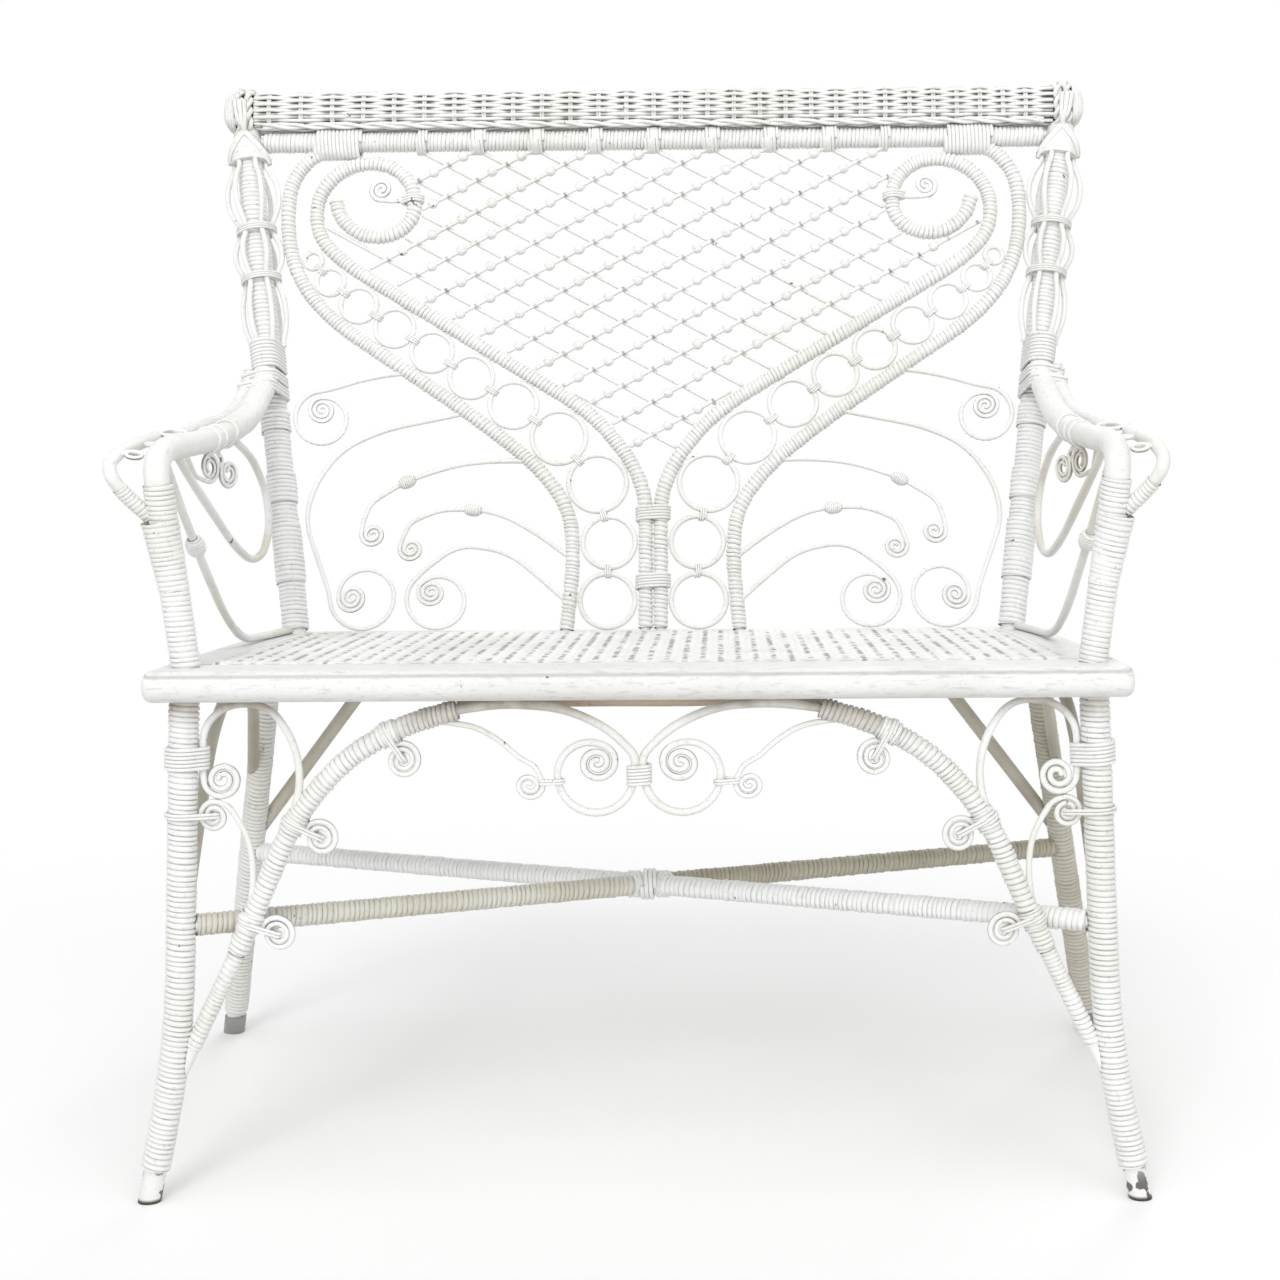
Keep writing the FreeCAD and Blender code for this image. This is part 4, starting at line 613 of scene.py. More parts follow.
# V bands
stem_x = V_R + TOUCH / 2
v_outer = route(each(on_back, (
    (75.9, 98.7), (83.6, 97.7), (90.2, 91.8), (92.4, 81.3), (90.6, 71.1), (83.0, 62.7), (46.6, 42.4),
    (31.1, 32.9), (22.5, 24.1), (21.8, 14.3), (24.6, -2.0))))
v_inner = route([panel(stem_x, -2 * V_R), panel(stem_x, STEM_HEIGHT)] + each(on_back, (
    (5.8, 33.7), (16.0, 43.2), (78.0, 74.2), (85.0, 80.3), (83.8, 89.1), (76.3, 95.0), (65.8, 95.8),
    (59.2, 90.6), (60.2, 83.2), (66.5, 79.8), (74.0, 80.2), (78.6, 84.0), (79.3, 87.5))))
above_seat = [path[(path - PANEL_FOOT) @ PANEL_UP > 1.0] for path in (v_outer, v_inner)]
bands = Piece()
for side in SIDES:
    for path in above_seat:
        wrap(bands, path * side, V_CORE, V_R - V_CORE, 4.4, 14, uneven=1.3)
bands.build("v_band_reed_wraps", reed_paint, "reed_wrap", "v_wraps")

# Rings between the bands
RING_REED, RING_LEAST, RING_TOP = 2.75, 11.0, 0.84


def ring_spots():
    """Centres and outer radii of the rings, from the seat upwards, each touching the last."""
    spots = []
    for point in v_outer[::-1]:
        centre = (point + nearest(v_inner, point)) / 2
        room = min(distance(centre[None], v_outer)[0], distance(centre[None], v_inner)[0])
        radius, up = room - V_R - TOUCH, (centre - PANEL_FOOT) @ PANEL_UP
        if spots:
            fits = np.linalg.norm(centre - spots[-1][0]) >= radius + spots[-1][1] + TOUCH
        else:
            fits = up >= radius + 2 * TOUCH
        if fits and radius >= RING_LEAST and up <= RING_TOP * RISE:
            spots.append((centre, radius))
    return spots


v_outer = resample(v_outer, 1.0)
v_inner = resample(v_inner, 1.0)
rings = ring_spots()
ring_piece, ring_ties = Piece(), Piece()
for side in SIDES:
    for centre, radius in rings:
        path = [centre + spoke(ACROSS, PANEL_UP, t) * (radius - RING_REED) for t in even_angles(48)]
        sweep(ring_piece, np.array(path) * side, RING_REED, 9, closed=True)
    for (low, low_radius), (high, high_radius) in zip(rings, rings[1:]):
        toward = unit(high - low)
        touch = low + toward * low_radius
        pair = [((touch + toward * off) * side, RING_REED) for off in (-RING_REED, RING_REED)]
        bind(ring_ties, pair, np.cross(toward, PANEL_OUT) * side, 1.1, 3)
ring_piece.build("rings", rod_paint, "painted_rod", "ring_chain_left", "ring_chain_right")
ring_ties.build("ring_ties", reed_paint, "reed_wrap")

# Lattice and beads
LATTICE_REED, LATTICE_PITCH, LATTICE_ANGLE = 2.2, 61.0, math.radians(29.5)
CELL, MARK, BEAD, BEAD_ROOM = LATTICE_PITCH / 2, 2.2, 5.4, 5.5
rising = spoke(ACROSS, PANEL_UP, LATTICE_ANGLE)
lattice_top = RISE - RAIL_R - TOUCH
both_inner = np.concatenate((v_inner, v_inner * FLIP))


def lattice_lines():
    """Ends of the rising reeds that fit inside the V."""
    lines = []
    count = int(2 * RISE / LATTICE_PITCH)
    reach = np.arange(0, 700, 1.0)[:, None]
    for k in range(-count, count + 1):
        middle_up = 0.62 * RISE + (k + 0.5) * LATTICE_PITCH * math.tan(LATTICE_ANGLE)
        seed_up = min(middle_up, lattice_top - 3 * LATTICE_REED)
        seed_x = (seed_up - middle_up) / math.tan(LATTICE_ANGLE)
        seed = panel(seed_x, seed_up)
        blocked = distance(seed[None], both_inner)[0] < V_R + LATTICE_REED
        if abs(seed_x) > 0.56 * post_x(RISE) or blocked or seed_up < STEM_HEIGHT + 2 * V_R:
            continue
        ends = []
        for direction in (-rising, rising):
            run = seed + direction * reach
            at_band = distance(run, both_inner) < V_R + LATTICE_REED
            at_rail = (run - PANEL_FOOT) @ PANEL_UP > lattice_top
            ends.append(run[np.argmax(at_band | at_rail)])
        if np.linalg.norm(ends[1] - ends[0]) > LATTICE_PITCH / 2:
            lines.append(ends)
    return lines


lines = lattice_lines()
rising_piece, falling_piece, beads = Piece(), Piece(), Piece()
layer = PANEL_OUT * (LATTICE_REED + TOUCH / 2)
for low, high in lines:
    front_reed = resample([low + layer, high + layer], 1.5)
    rear_reed = resample([(low - layer) * FLIP, (high - layer) * FLIP], 6)
    # Painted shadow on the rising reed where each falling reed crosses behind it.
    from_crossing = (front_reed[:, 0] + CELL / 2) % CELL - CELL / 2
    deep_shade = 0.85 * np.exp(-(from_crossing / MARK) ** 2)
    taper(rising_piece, front_reed, LATTICE_REED, LATTICE_REED, 8, gap=deep_shade)
    taper(falling_piece, rear_reed, LATTICE_REED, LATTICE_REED, 8)
    first = math.ceil((low[0] + BEAD_ROOM) / CELL - 0.5)
    last = math.floor((high[0] - BEAD_ROOM) / CELL - 0.5)
    for count in range(first, last + 1):
        x = (count + 0.5) * CELL
        spot = low + rising * ((x - low[0]) / rising[0]) + layer
        if distance(spot[None], both_inner)[0] < V_R + BEAD_ROOM + TOUCH:
            continue
        ball(beads, spot, BEAD * chance.uniform(0.94, 1.02), rising)
rail_ties = Piece()
for side in SIDES:
    for low, high in lines:
        if (high - PANEL_FOOT) @ PANEL_UP > lattice_top - 4:
            rail, reed_end = panel(high[0], RISE), panel(high[0], lattice_top)
            bind(rail_ties, [(rail * side, RAIL_R), (reed_end * side, 1.2)], ACROSS, 1.7, 3)
    end = nearest(v_outer, on_back(77.5, 98.5))
    bind(rail_ties, [(panel(end[0], RISE) * side, RAIL_R), (end * side, V_R)], ACROSS, 2.0, 12)
rail_ties.build("rail_bands_and_ties", reed_paint, "reed_wrap")
rising_piece.build("lattice_rising_reeds", rod_paint, "painted_rod", "lattice_rising")
falling_piece.build("lattice_falling_reeds", rod_paint, "painted_rod", "lattice_falling")
beads.build("beads", wood_paint, "seat_wood", "lattice_beads")

# Scrolls of the back
SCROLL_R, SCROLL_RING, COIL_R, COIL_STEP = 2.75, 31.0, 2.3, 2.35
BACK_COIL, SNAIL_COIL = winding(10.5, COIL_STEP, 2.5), winding(10.2, COIL_STEP, 2.4)


def eye(ring):
    """Radii of an open ring that ends in a close spiral."""
    return [ring, 0.87 * ring] + winding(12.5, COIL_STEP, 2.5)


BACK_SCROLLS = (
    (((62.8, 52.0), (73.6, 51.0)), (87.4, 42.9), eye(0.9 * SCROLL_RING), 85),
    (((49.1, 43.6), (60.2, 41.9), (71.6, 40.2), (83.3, 36.3), (91.3, 29.1), (94.6, 22.0)), (80.8, 6.9),
     eye(1.04 * SCROLL_RING), -5),
    (((32.6, 33.7), (42.2, 33.9), (52.7, 33.1), (66.2, 30.0), (76.5, 25.5)), (76.8, 19.3),
     BACK_COIL, 15),
    (((22.9, 14.5), (31.9, 19.5), (42.9, 23.9), (57.3, 24.3), (66.0, 21.6)), (66.6, 16.4),
     BACK_COIL, 25),
    (((23.8, 5.7), (30.8, 10.3), (39.7, 15.7), (53.1, 17.3)), (60.2, 6.5), eye(0.96 * SCROLL_RING), 50),
)
scroll_lines = [scroll(each(on_back, spots), on_back(*centre), ACROSS, PANEL_UP,
                       radii, angle, -1, 4 * SCROLL_R) for spots, centre, radii, angle in BACK_SCROLLS]
back_scrolls, knobs = Piece(), Piece()
for side in SIDES:
    for line in scroll_lines:
        taper(back_scrolls, line * side, SCROLL_R, 2.0, 10, PANEL_OUT)
    for line, spot in ((scroll_lines[2], on_back(66.2, 29.8)), (scroll_lines[3], on_back(48.8, 24.0))):
        wound_knob(knobs, line * side, spot * side, 6, 4.2, 1.2, 2.2, 14)
back_scrolls.build("back_scroll_rods", rod_paint, "painted_rod", "back_scrolls_left", "back_scrolls_right")

snail_on = nearest(v_inner, on_back(60.0, 87.8))
snail_line = scroll([snail_on], on_back(67.8, 89.7), ACROSS, PANEL_UP, SNAIL_COIL, 270, 1, 10.2)
snails = Piece()
for side in SIDES:
    taper(snails, snail_line * side, COIL_R + 0.4, 2.2, plane=PANEL_OUT)
    bind(snails, [(snail_on * side, V_R), ((snail_on + ACROSS * (V_R + 2)) * side, 2.2)], PANEL_UP, 1.4, 3)
snails.build("snail_coils_and_ties", rod_paint, "painted_rod", "snail_coils")

stem_tie = Piece()
for level in (0.36, 0.86):
    up = level * STEM_HEIGHT
    bind(stem_tie, [(panel(-stem_x, up), V_R), (panel(stem_x, up), V_R)], PANEL_UP, 1.5, 5)
stem_tie.build("stem_reed_ties", reed_paint, "reed_wrap", "stem_ties")

# Crest roll: rows of reed woven along paired stakes, on a dark inside that is painted shade
CREST_MIDDLE = CREST_FOOT + CREST_HALF_HEIGHT
CREST_ROUND, CREST_BAND, STAKE_GAP, ROWS, INSIDE_SIDES = 16.0, 18.0, 28.2, 36, 40
WEAVER_R, STAKE_R, SWING = 1.8, 1.2, 2.0
WEAVE_END = CREST_HALF - CREST_ROUND - CREST_BAND
INSIDE_END = WEAVE_END + 22


def crest_outline(inset, count):
    """Points and outward directions evenly spaced round the crest's rounded section, set in from it."""
    a, b, r = CREST_HALF_DEPTH - CREST_ROUND, CREST_HALF_HEIGHT - CREST_ROUND, CREST_ROUND
    fine = []
    for quarter, (sx, sy) in enumerate(((1, 1), (-1, 1), (-1, -1), (1, -1))):
        for t in np.linspace(0, math.pi / 2, 40):
            n = np.array((math.cos(t + quarter * math.pi / 2), math.sin(t + quarter * math.pi / 2), 0))
            fine.append(np.array((sx * a, sy * b, 0)) + n * (r - inset))
    line = np.array(fine + fine[:1])
    line = resample(line, lengths(np.diff(line, axis=0)).sum() / count)[:-1]
    ahead = np.roll(line, -1, 0) - np.roll(line, 1, 0)
    outward = np.stack((ahead[:, 1], -ahead[:, 0]), 1)
    outward /= lengths(outward)[:, None]
    return line[:, :2], outward


def on_crest(x, spot):
    """A point of the crest: along it, then forward and up from its middle."""
    return panel(x, CREST_MIDDLE + spot[1], spot[0])


def stake_places():
    """Where the stake pairs stand along the crest: closer together towards the right end."""
    places = [0.55 * STAKE_GAP - WEAVE_END]
    while places[-1] < WEAVE_END - STAKE_GAP:
        places.append(places[-1] + STAKE_GAP * (1 - 0.19 * places[-1] / WEAVE_END))
    return np.array(places)


crest, crest_inside = Piece(), Piece()
spots, outward = crest_outline(WEAVER_R + SWING, ROWS)
stakes = stake_places()
along = np.linspace(-WEAVE_END, WEAVE_END, 250)
ends = np.concatenate(([2 * stakes[0] - stakes[1]], stakes, [2 * stakes[-1] - stakes[-2]]))
counted = np.interp(along, ends, np.arange(len(ends)))
for row, (spot, out) in enumerate(zip(spots, outward)):
    wave = np.cos(math.pi * (counted + row))
    depth = SWING * (1 + 0.12 * chance.uniform(-1, 1))
    path = np.array([on_crest(x, spot + out * depth * w) for x, w in zip(along, wave)])
    # Painted shade on each row where it passes behind the stakes.
    sweep(crest, path, WEAVER_R * chance.uniform(0.95, 1.05), 8, gap=np.clip(0.12 - 0.9 * wave, 0, 1))
stake_ring = crest_outline(WEAVER_R + SWING, 48)[0]
for place in stakes:
    for pair in (-1.0, 1.0):
        sweep(crest, [on_crest(place + pair * STAKE_R, spot) for spot in stake_ring], STAKE_R, 7, closed=True)
inside_ring = crest_outline(WEAVER_R + 2 * SWING + 1.6, INSIDE_SIDES)[0]
inside_points = [on_crest(x, spot) for x in (-INSIDE_END, INSIDE_END) for spot in inside_ring]
crest_inside.add(inside_points, tube(2, INSIDE_SIDES))
crest.build("crest_weave", weave_paint, "reed_wrap", "crest_roll")
crest_inside.build("crest_inside", shade_paint, "reed_wrap")

# Crest ends: strands wound round the section, drawn in to a rounded end
END_REED, ROPE_R = 2.1, 2.55
crest_ends = Piece()
rope_ring = crest_outline(1.2, 60)[0]
rope_ring = np.concatenate((rope_ring, rope_ring[:1]))
for side in (-1, 1):
    for place in (WEAVE_END + 2 * ROPE_R, WEAVE_END + 6 * ROPE_R):
        twist(crest_ends, [on_crest(side * place, spot) for spot in rope_ring], ROPE_R, 22, closed=True)
    run = WEAVE_END + 8 * ROPE_R + END_REED
    while run < CREST_HALF + 2 * CREST_ROUND:
        over = max(run - (CREST_HALF - CREST_ROUND), 0)
        angle = min(over / CREST_ROUND, math.pi / 2)
        inset = END_REED + CREST_ROUND * (1 - math.cos(angle)) + max(over - CREST_ROUND * math.pi / 2, 0)
        x = min(run, CREST_HALF - CREST_ROUND) + CREST_ROUND * math.sin(angle) - END_REED * math.sin(angle)
        if inset > CREST_ROUND - 1:
            break
        ring = [on_crest(side * x, spot) for spot in crest_outline(inset, 44)[0]]
        sweep(crest_ends, ring, END_REED * chance.uniform(0.9, 1.05), 8, closed=True)
        run += 2 * END_REED * 0.96
    tip = on_crest(side * (CREST_HALF - END_REED - 0.5), (0, 0))
    button = turns(tip, PANEL_OUT, PANEL_UP, winding(8.6, 1.2, 1.4), 0, 1)
    sweep(crest_ends, resample(button, 1.2), END_REED, 8, plane=ACROSS)


def cap_strap(turn, off):
    """A strap that comes off the crest's front and runs down one side of a post cap."""
    points = [on_post(CREST_MIDDLE + 4, CREST_HALF_DEPTH + 5.5) + ACROSS * (off - 3 * turn),
              on_post(CREST_FOOT + 5, CREST_HALF_DEPTH + 3.0) + ACROSS * (off - 2 * turn)]
    for share in np.linspace(0.0, 1.0, 6):
        angle = math.radians(90 - turn * 86 * share)
        reach = POST_R + 1.5 + 6.0 * share
        up = CREST_FOOT - 3 - share * (CREST_FOOT - CAP_FOOT - 5) + off
        points.append(on_post(up) + spoke(ACROSS, PANEL_OUT, angle) * reach)
    return points


for side in SIDES:
    for turn in (-1, 1):
        for off in (-2.0, 2.0):
            strap = route([point * side for point in cap_strap(turn, off)])
            sweep(crest_ends, strap, 2.0, 8)
            # A wider dark rod set under each strap: painted shade along both its sides.
            sweep(crest_ends, strap - PANEL_OUT * 1.3, 2.5, 8, gap=1.0)
crest_ends.build("crest_end_strands", reed_paint, "reed_wrap", "crest_ends")

strip = Piece()
strip_ends = [panel(side * rail_half, CREST_FOOT + 2.4, 13.0) for side in (-1, 1)]
twist(strip, strip_ends, 1.9, 2 * STAKE_GAP)
strip.build("crest_twisted_pair", reed_paint, "reed_wrap", "crest_strip")

# Cages of thin reed round the post tops
CAGE_R, CAGE_BULGE, BULGES = 2.75, 10.0, (0.55, 0.75, 1.0)
waist = POST_R + CAGE_R + TOUCH
side_of_post = unit(np.cross(POST_AXIS, PANEL_OUT))
cages, cage_ties = Piece(), Piece()


def cage_reed(angle):
    """Points of one cage reed: out and back in between the waists."""
    outward = spoke(side_of_post, PANEL_OUT, angle)
    points = [on_post(CAGE_LEVELS[0]) + outward * waist]
    for low, high, bulge in zip(CAGE_LEVELS, CAGE_LEVELS[1:], BULGES):
        for share, out in ((0.08, 0), (0.34, 1), (0.66, 1), (0.92, 0)):
            points.append(on_post(low + share * (high - low)) + outward * (waist + out * bulge * CAGE_BULGE))
    return points + [on_post(CAGE_LEVELS[-1]) + outward * waist]


for side in SIDES:
    for k in range(6):
        rod(cages, [point * side for point in cage_reed(math.radians(60 * k))], CAGE_R, 9)
    for level in CAGE_LEVELS[1:3]:
        bind(cage_ties, [(on_post(level) * side, waist + CAGE_R - 0.5)], POST_AXIS * side, 1.2, 3)
cages.build("cage_reeds_bent", rod_paint, "painted_rod", "cage_reeds")
cage_ties.build("cage_reed_ties", reed_paint, "reed_wrap", "cage_ties")

# Arms
ARM_X, ARM_RISE, ARM_RUN, ARM_LIFT = 390.0, 178.0, 360.0, 26.0
ARM_TOP, ARM_FOOT = SEAT_HEIGHT + ARM_RISE, vec(373, 13, seat_top(13))
arm_off_post = POST_R + ARM_R + TOUCH
binding_top = CAGE_LEVELS[0] - TOUCH
binding_foot = binding_top - 30


def by_arm(run, out=0.0, up=0.0):
    """A point by the arm pole: at a share of its run, then out from its line and up from its top."""
    return vec(ARM_X + out, run * ARM_RUN, ARM_TOP + up)


def beside_post(up, side=0.0):
    return panel(post_x(up) + side, up, arm_off_post)


def on_side(along, up, inset=0.0):
    """A point under the arm, in hundredths of the arm's run and of its rise above the seat."""
    y = along / 100 * ARM_RUN
    return vec(ARM_FOOT[0] + (ARM_X - ARM_FOOT[0]) * up / 100 - inset, y, seat_top(y) + up / 100 * ARM_RISE)


arm = route([beside_post(binding_top), beside_post(binding_foot - ARM_R),
             by_arm(1, 4, ARM_LIFT), by_arm(0.6, 0, 6.5),
             vec(ARM_X, 3 * ARM_R, ARM_TOP), vec(ARM_X, ARM_FOOT[1] - ARM_R, ARM_TOP - 12),
             ARM_FOOT + vec(0.6 * (ARM_X - ARM_FOOT[0]), 0, 0.5 * ARM_RISE), ARM_FOOT])
arm_upper = arm[((arm - on_post(0)) @ POST_AXIS < binding_foot) & (arm[:, 1] > 0.72 * ARM_RUN)]
OUTER_R, OUTER_OFF = 5.5, 27.0
beside_arm = ARM_R + OUTER_R + TOUCH
outer_rod = route([
    beside_post(binding_foot, beside_arm), beside_post(binding_foot - ARM_R, beside_arm),
    by_arm(1, 5 + beside_arm, ARM_LIFT), by_arm(0.56, OUTER_OFF, 12), by_arm(0.28, OUTER_OFF + 0.5, 9),
    by_arm(0.03, OUTER_OFF + 4, -1), by_arm(-0.04, OUTER_OFF + 8, -14), by_arm(-0.01, OUTER_OFF - 2, -34),
    vec(ARM_X, ARM_FOOT[1], ARM_TOP - 62)])


def at_level(path, level):
    """The point of a line that is level with a point of the back post."""
    near = path[path[:, 1] > 0.8 * ARM_RUN]
    return near[np.argmin(abs((near - on_post(level)) @ POST_AXIS))]


arm_post = arm[(arm[:, 1] < 42) & (arm[:, 2] < ARM_TOP - 26)]
joint = arm_post[(arm_post[:, 2] < ARM_TOP - 56) & (arm_post[:, 2] > ARM_TOP - 116)]
joint = joint + ACROSS * np.linspace(3.2, 0, len(joint))[:, None]
joint_core = np.linspace(ARM_R + 3.2, ARM_R + 0.2, 9)
outer_wrapped, outer_foot = outer_rod[outer_rod[:, 1] > 0.33 * ARM_RUN], outer_rod[-24:-6]
middle = (binding_top + binding_foot) / 2
arm_wraps, bindings = Piece(), Piece()
for side in SIDES:
    wrap(arm_wraps, arm_post * side, ARM_R, ARM_WRAPPED - ARM_R, 4.2, 20)
    wrap(arm_wraps, arm_upper * side, ARM_R - 0.4, 2.3, 4.4, 20, uneven=1.3)
    wrap(arm_wraps, outer_wrapped * side, OUTER_R - 0.2, 1.3, 3.6, 14, uneven=1.4)
    bind(bindings, [(on_post(middle) * side, POST_R), (beside_post(middle) * side, ARM_R)],
         POST_AXIS * side, 1.9, 8)
    for level in (245.0, 258.0):
        held = ((on_post(level), POST_R), (at_level(arm, level), ARM_R),
                (at_level(outer_rod, level), OUTER_R))
        bind(bindings, [(point * side, radius) for point, radius in held], POST_AXIS * side, 1.9, 3)
    wrap(arm_wraps, outer_foot * side, OUTER_R - 0.4, 1.4, 3.8, 14, uneven=1.4)
    wrap(bindings, joint * side, joint_core, 1.8, 4.2, 20, uneven=1.3)
arm_wraps.build("arm_post_reed_wraps", reed_paint, "reed_wrap", "arm_post_wraps")

ARM_ROD = 3.75
rest = (ARM_ROD + TOUCH) / ARM_RISE * 100
loop_points = each(on_side, (
    (70, 110), (84, 105), (98, 97), (108, 80), (108, 62), (98, 47), (82, 42), (64, 52), (46, 70), (28, 88),
    (20, 98)))
s_points = each(on_side, (
    (8, 96), (16, 76), (28, 50), (45, 18), (60, rest + 1.5), (80, rest, 2), (102, rest, 12)))
coil_facing = unit(vec(-0.35, 0.94, 0))
hang = by_arm(0.5, up=-2 * ARM_R)
hang_on = nearest(arm, hang)
hang_size = 14.5
hang_centre = hang_on + unit(hang - hang_on) * (ARM_R + hang_size + TOUCH)
coil_normal, arm_ahead = np.cross(coil_facing, UP), vec(0, 1, 0.03)
coil_radii = winding(hang_size - COIL_R, COIL_STEP, 3.4)
front_coil = scroll([nearest(arm, by_arm(0.29)) - UP * ARM_R,
                     hang_centre - coil_facing * 1.5 * hang_size - UP * 0.45 * hang_size],
                    hang_centre, coil_facing, UP, coil_radii, 250, 1, 5)
rear_centre = hang_centre + coil_facing * (2 * hang_size + TOUCH) - UP * 5
rear_on = nearest(arm, rear_centre + UP * 2 * hang_size)
rear_coil = scroll([rear_on - UP * ARM_R], rear_centre, coil_facing, UP, coil_radii, 150, 1, 6)

TIP_REED, TIP_HEIGHT, TIP_TURNS = 1.9, 4.2, 2.5
tip_normal = unit(vec(0, -0.69, 0.72))


def flat_coil(first, last):
    """A flattened coil that spans two points and faces up and forward."""
    across = unit(last - first)
    rise = unit(np.cross(tip_normal, across))
    angle = np.linspace(0, TIP_TURNS * math.tau, 110)[:, None]
    shrink = np.linspace(1, 0.24, 110)[:, None]
    reach = np.linalg.norm(last - first) / 2
    oval = across * np.cos(angle) * reach + rise * np.sin(angle) * TIP_HEIGHT
    return (first + last) / 2 + oval * shrink


def tip_coils():
    """One coil between the front corners of pole and outer rod, and one that lies on both."""
    corner = nearest(arm, by_arm(0.03)) + UP * 2
    outer = nearest(outer_rod, by_arm(0.01, OUTER_OFF + 5, -4)) + UP * 2
    across = unit(outer - corner)
    on_pole = nearest(arm, by_arm(0.31)) + UP * (ARM_R - 1)
    on_rod = nearest(outer_rod, by_arm(0.31, OUTER_OFF)) + UP * (OUTER_R - 1)
    between = corner + across * (ARM_R + 0.5 * TIP_REED), outer - across * (OUTER_R + 0.5 * TIP_REED)
    return flat_coil(*between), flat_coil(on_pole, on_rod)


def hold_to_arm(held, radius, reed, count, side):
    """Binds a rod's end under the arm pole, at a point of the pole's line."""
    rods = [(held * side, ARM_R - 0.4), ((held - UP * ARM_R) * side, radius)]
    bind(bindings, rods, arm_ahead * side, reed, count)


arm_scrolls, arm_tips = Piece(), Piece()
for side in SIDES:
    rod(arm_scrolls, [point * side for point in loop_points], ARM_ROD)
    s_line = rod(arm_scrolls, [point * side for point in s_points], ARM_ROD)
    for coil, held in ((front_coil, hang_on), (rear_coil, rear_on)):
        taper(arm_scrolls, coil * side, COIL_R, 1.9, plane=coil_normal * side)
        hold_to_arm(held, 1.5, 1.3, 2, side)
    hold_to_arm(nearest(arm, loop_points[0]), 2.0, 1.4, 4, side)
    for coil in tip_coils():
        # Painted shade on the inner turns of each flat coil.
        inside = np.clip(np.linspace(-0.6, 1.6, len(coil)), 0, 1)
        sweep(arm_tips, coil * side, TIP_REED, gap=inside, plane=tip_normal * side)
    wound_knob(knobs, s_line, on_side(26, 54) * side, 5, 5.6, 1.4, 2.6, 16)
arm_scrolls.build("arm_scroll_rods", arm_rod_paint, "painted_rod", "arm_scrolls")
arm_tips.build("arm_tip_coils", rod_paint, "painted_rod")
knobs.build("wound_knobs", weave_paint, "reed_wrap", "scroll_knobs")

# Apron: wrapped arches, scrolls and coils
APRON_R, APRON_RING, APRON_COIL, CORNER_R, BOUND = 4.0, 31.5, 14.5, 3.2, 9.0
APRON_NORMAL = vec(0, 1, 0)
apron_top = UNDER - TOUCH
arch_meet = vec(0.4 * LEG_HALF, 0, apron_top - ARCH_R)
arch_spots = ((104.0, 25.5), (88.5, 53.0), (76.5, 77.0), (64.5, 88.8), (51.5, 95.0))
arch = route(each(on_apron, arch_spots) + [arch_meet])
arch_wraps = Piece()
thick_part = arch[arch[:, 2] > 0.5 * UNDER]
thin_part = arch[(arch[:, 2] < 0.5 * UNDER) & (arch[:, 0] < LEG_HALF + 3)]
for side in SIDES:
    wrap(arch_wraps, thick_part * side, ARCH_CORE, ARCH_R - ARCH_CORE, 4.6, 16, uneven=1.3)
    wrap(arch_wraps, thin_part * side, ARCH_CORE - 0.4, 1.6, 4.2, 14, uneven=1.5)
arch_wraps.build("arch_reed_wraps", arch_paint, "reed_wrap", "arch_wraps")

ring_x = APRON_RING + APRON_R + TOUCH / 2
ring_centre = vec(ring_x, 0, apron_top - 0.15 * UNDER)
middle_radii = [APRON_RING, 0.86 * APRON_RING] + winding(0.44 * APRON_RING, 3.3, 3.6)
middle_scroll = scroll([arch_meet, vec(0.75 * arch_meet[0], 0, apron_top - APRON_R),
                        vec(0.42 * arch_meet[0], 0, apron_top - 1.8 * APRON_R),
                        vec(0.165 * arch_meet[0], 0, apron_top - 0.8 * APRON_RING)],
                       ring_centre, ACROSS, UP, middle_radii, 180, 1, 0.5 * APRON_RING, (180, 120))
branch_centre = vec(0.60 * arch_meet[0], 0, ring_centre[2] - 2 * APRON_R)
branch = scroll(each(on_apron, ((44.0, 95.6), (36.0, 94.6), (30.5, 91.8), (26.2, 88.2))),
                branch_centre, ACROSS, UP, SNAIL_COIL, 150, 1, 3 * APRON_R)
apron_scrolls, straps = Piece(), Piece()
toward = unit(branch_centre - ring_centre)
for side in SIDES:
    taper(apron_scrolls, middle_scroll * side, APRON_R, 2.7, 12, APRON_NORMAL)
    taper(apron_scrolls, branch * side, COIL_R + 0.2, 2.0, plane=APRON_NORMAL)
    bind(straps, [((ring_centre + toward * APRON_RING) * side, APRON_R),
                  ((branch_centre - toward * 10.4) * side, COIL_R)], UP, 1.1, 2)
inner_edge = ring_centre - ACROSS * APRON_RING
bind(straps, [(inner_edge * FLIP, APRON_R), (inner_edge, APRON_R)], UP, 1.4, 6)
apron_scrolls.build("apron_scroll_rods", apron_paint, "painted_rod", "apron_scrolls")

# Bare rod under the front rail, behind the scrolls
STRIP_R, STRIP_BACK = 4.6, 16.0
strip_level = seat_under(STRIP_BACK) - STRIP_R
under_rail = Piece()
rod(under_rail, [vec(side * arch_meet[0], STRIP_BACK, strip_level) for side in (-1, 1)], STRIP_R)
under_rail.build("rod_under_front_rail", bare_wood, "seat_wood")

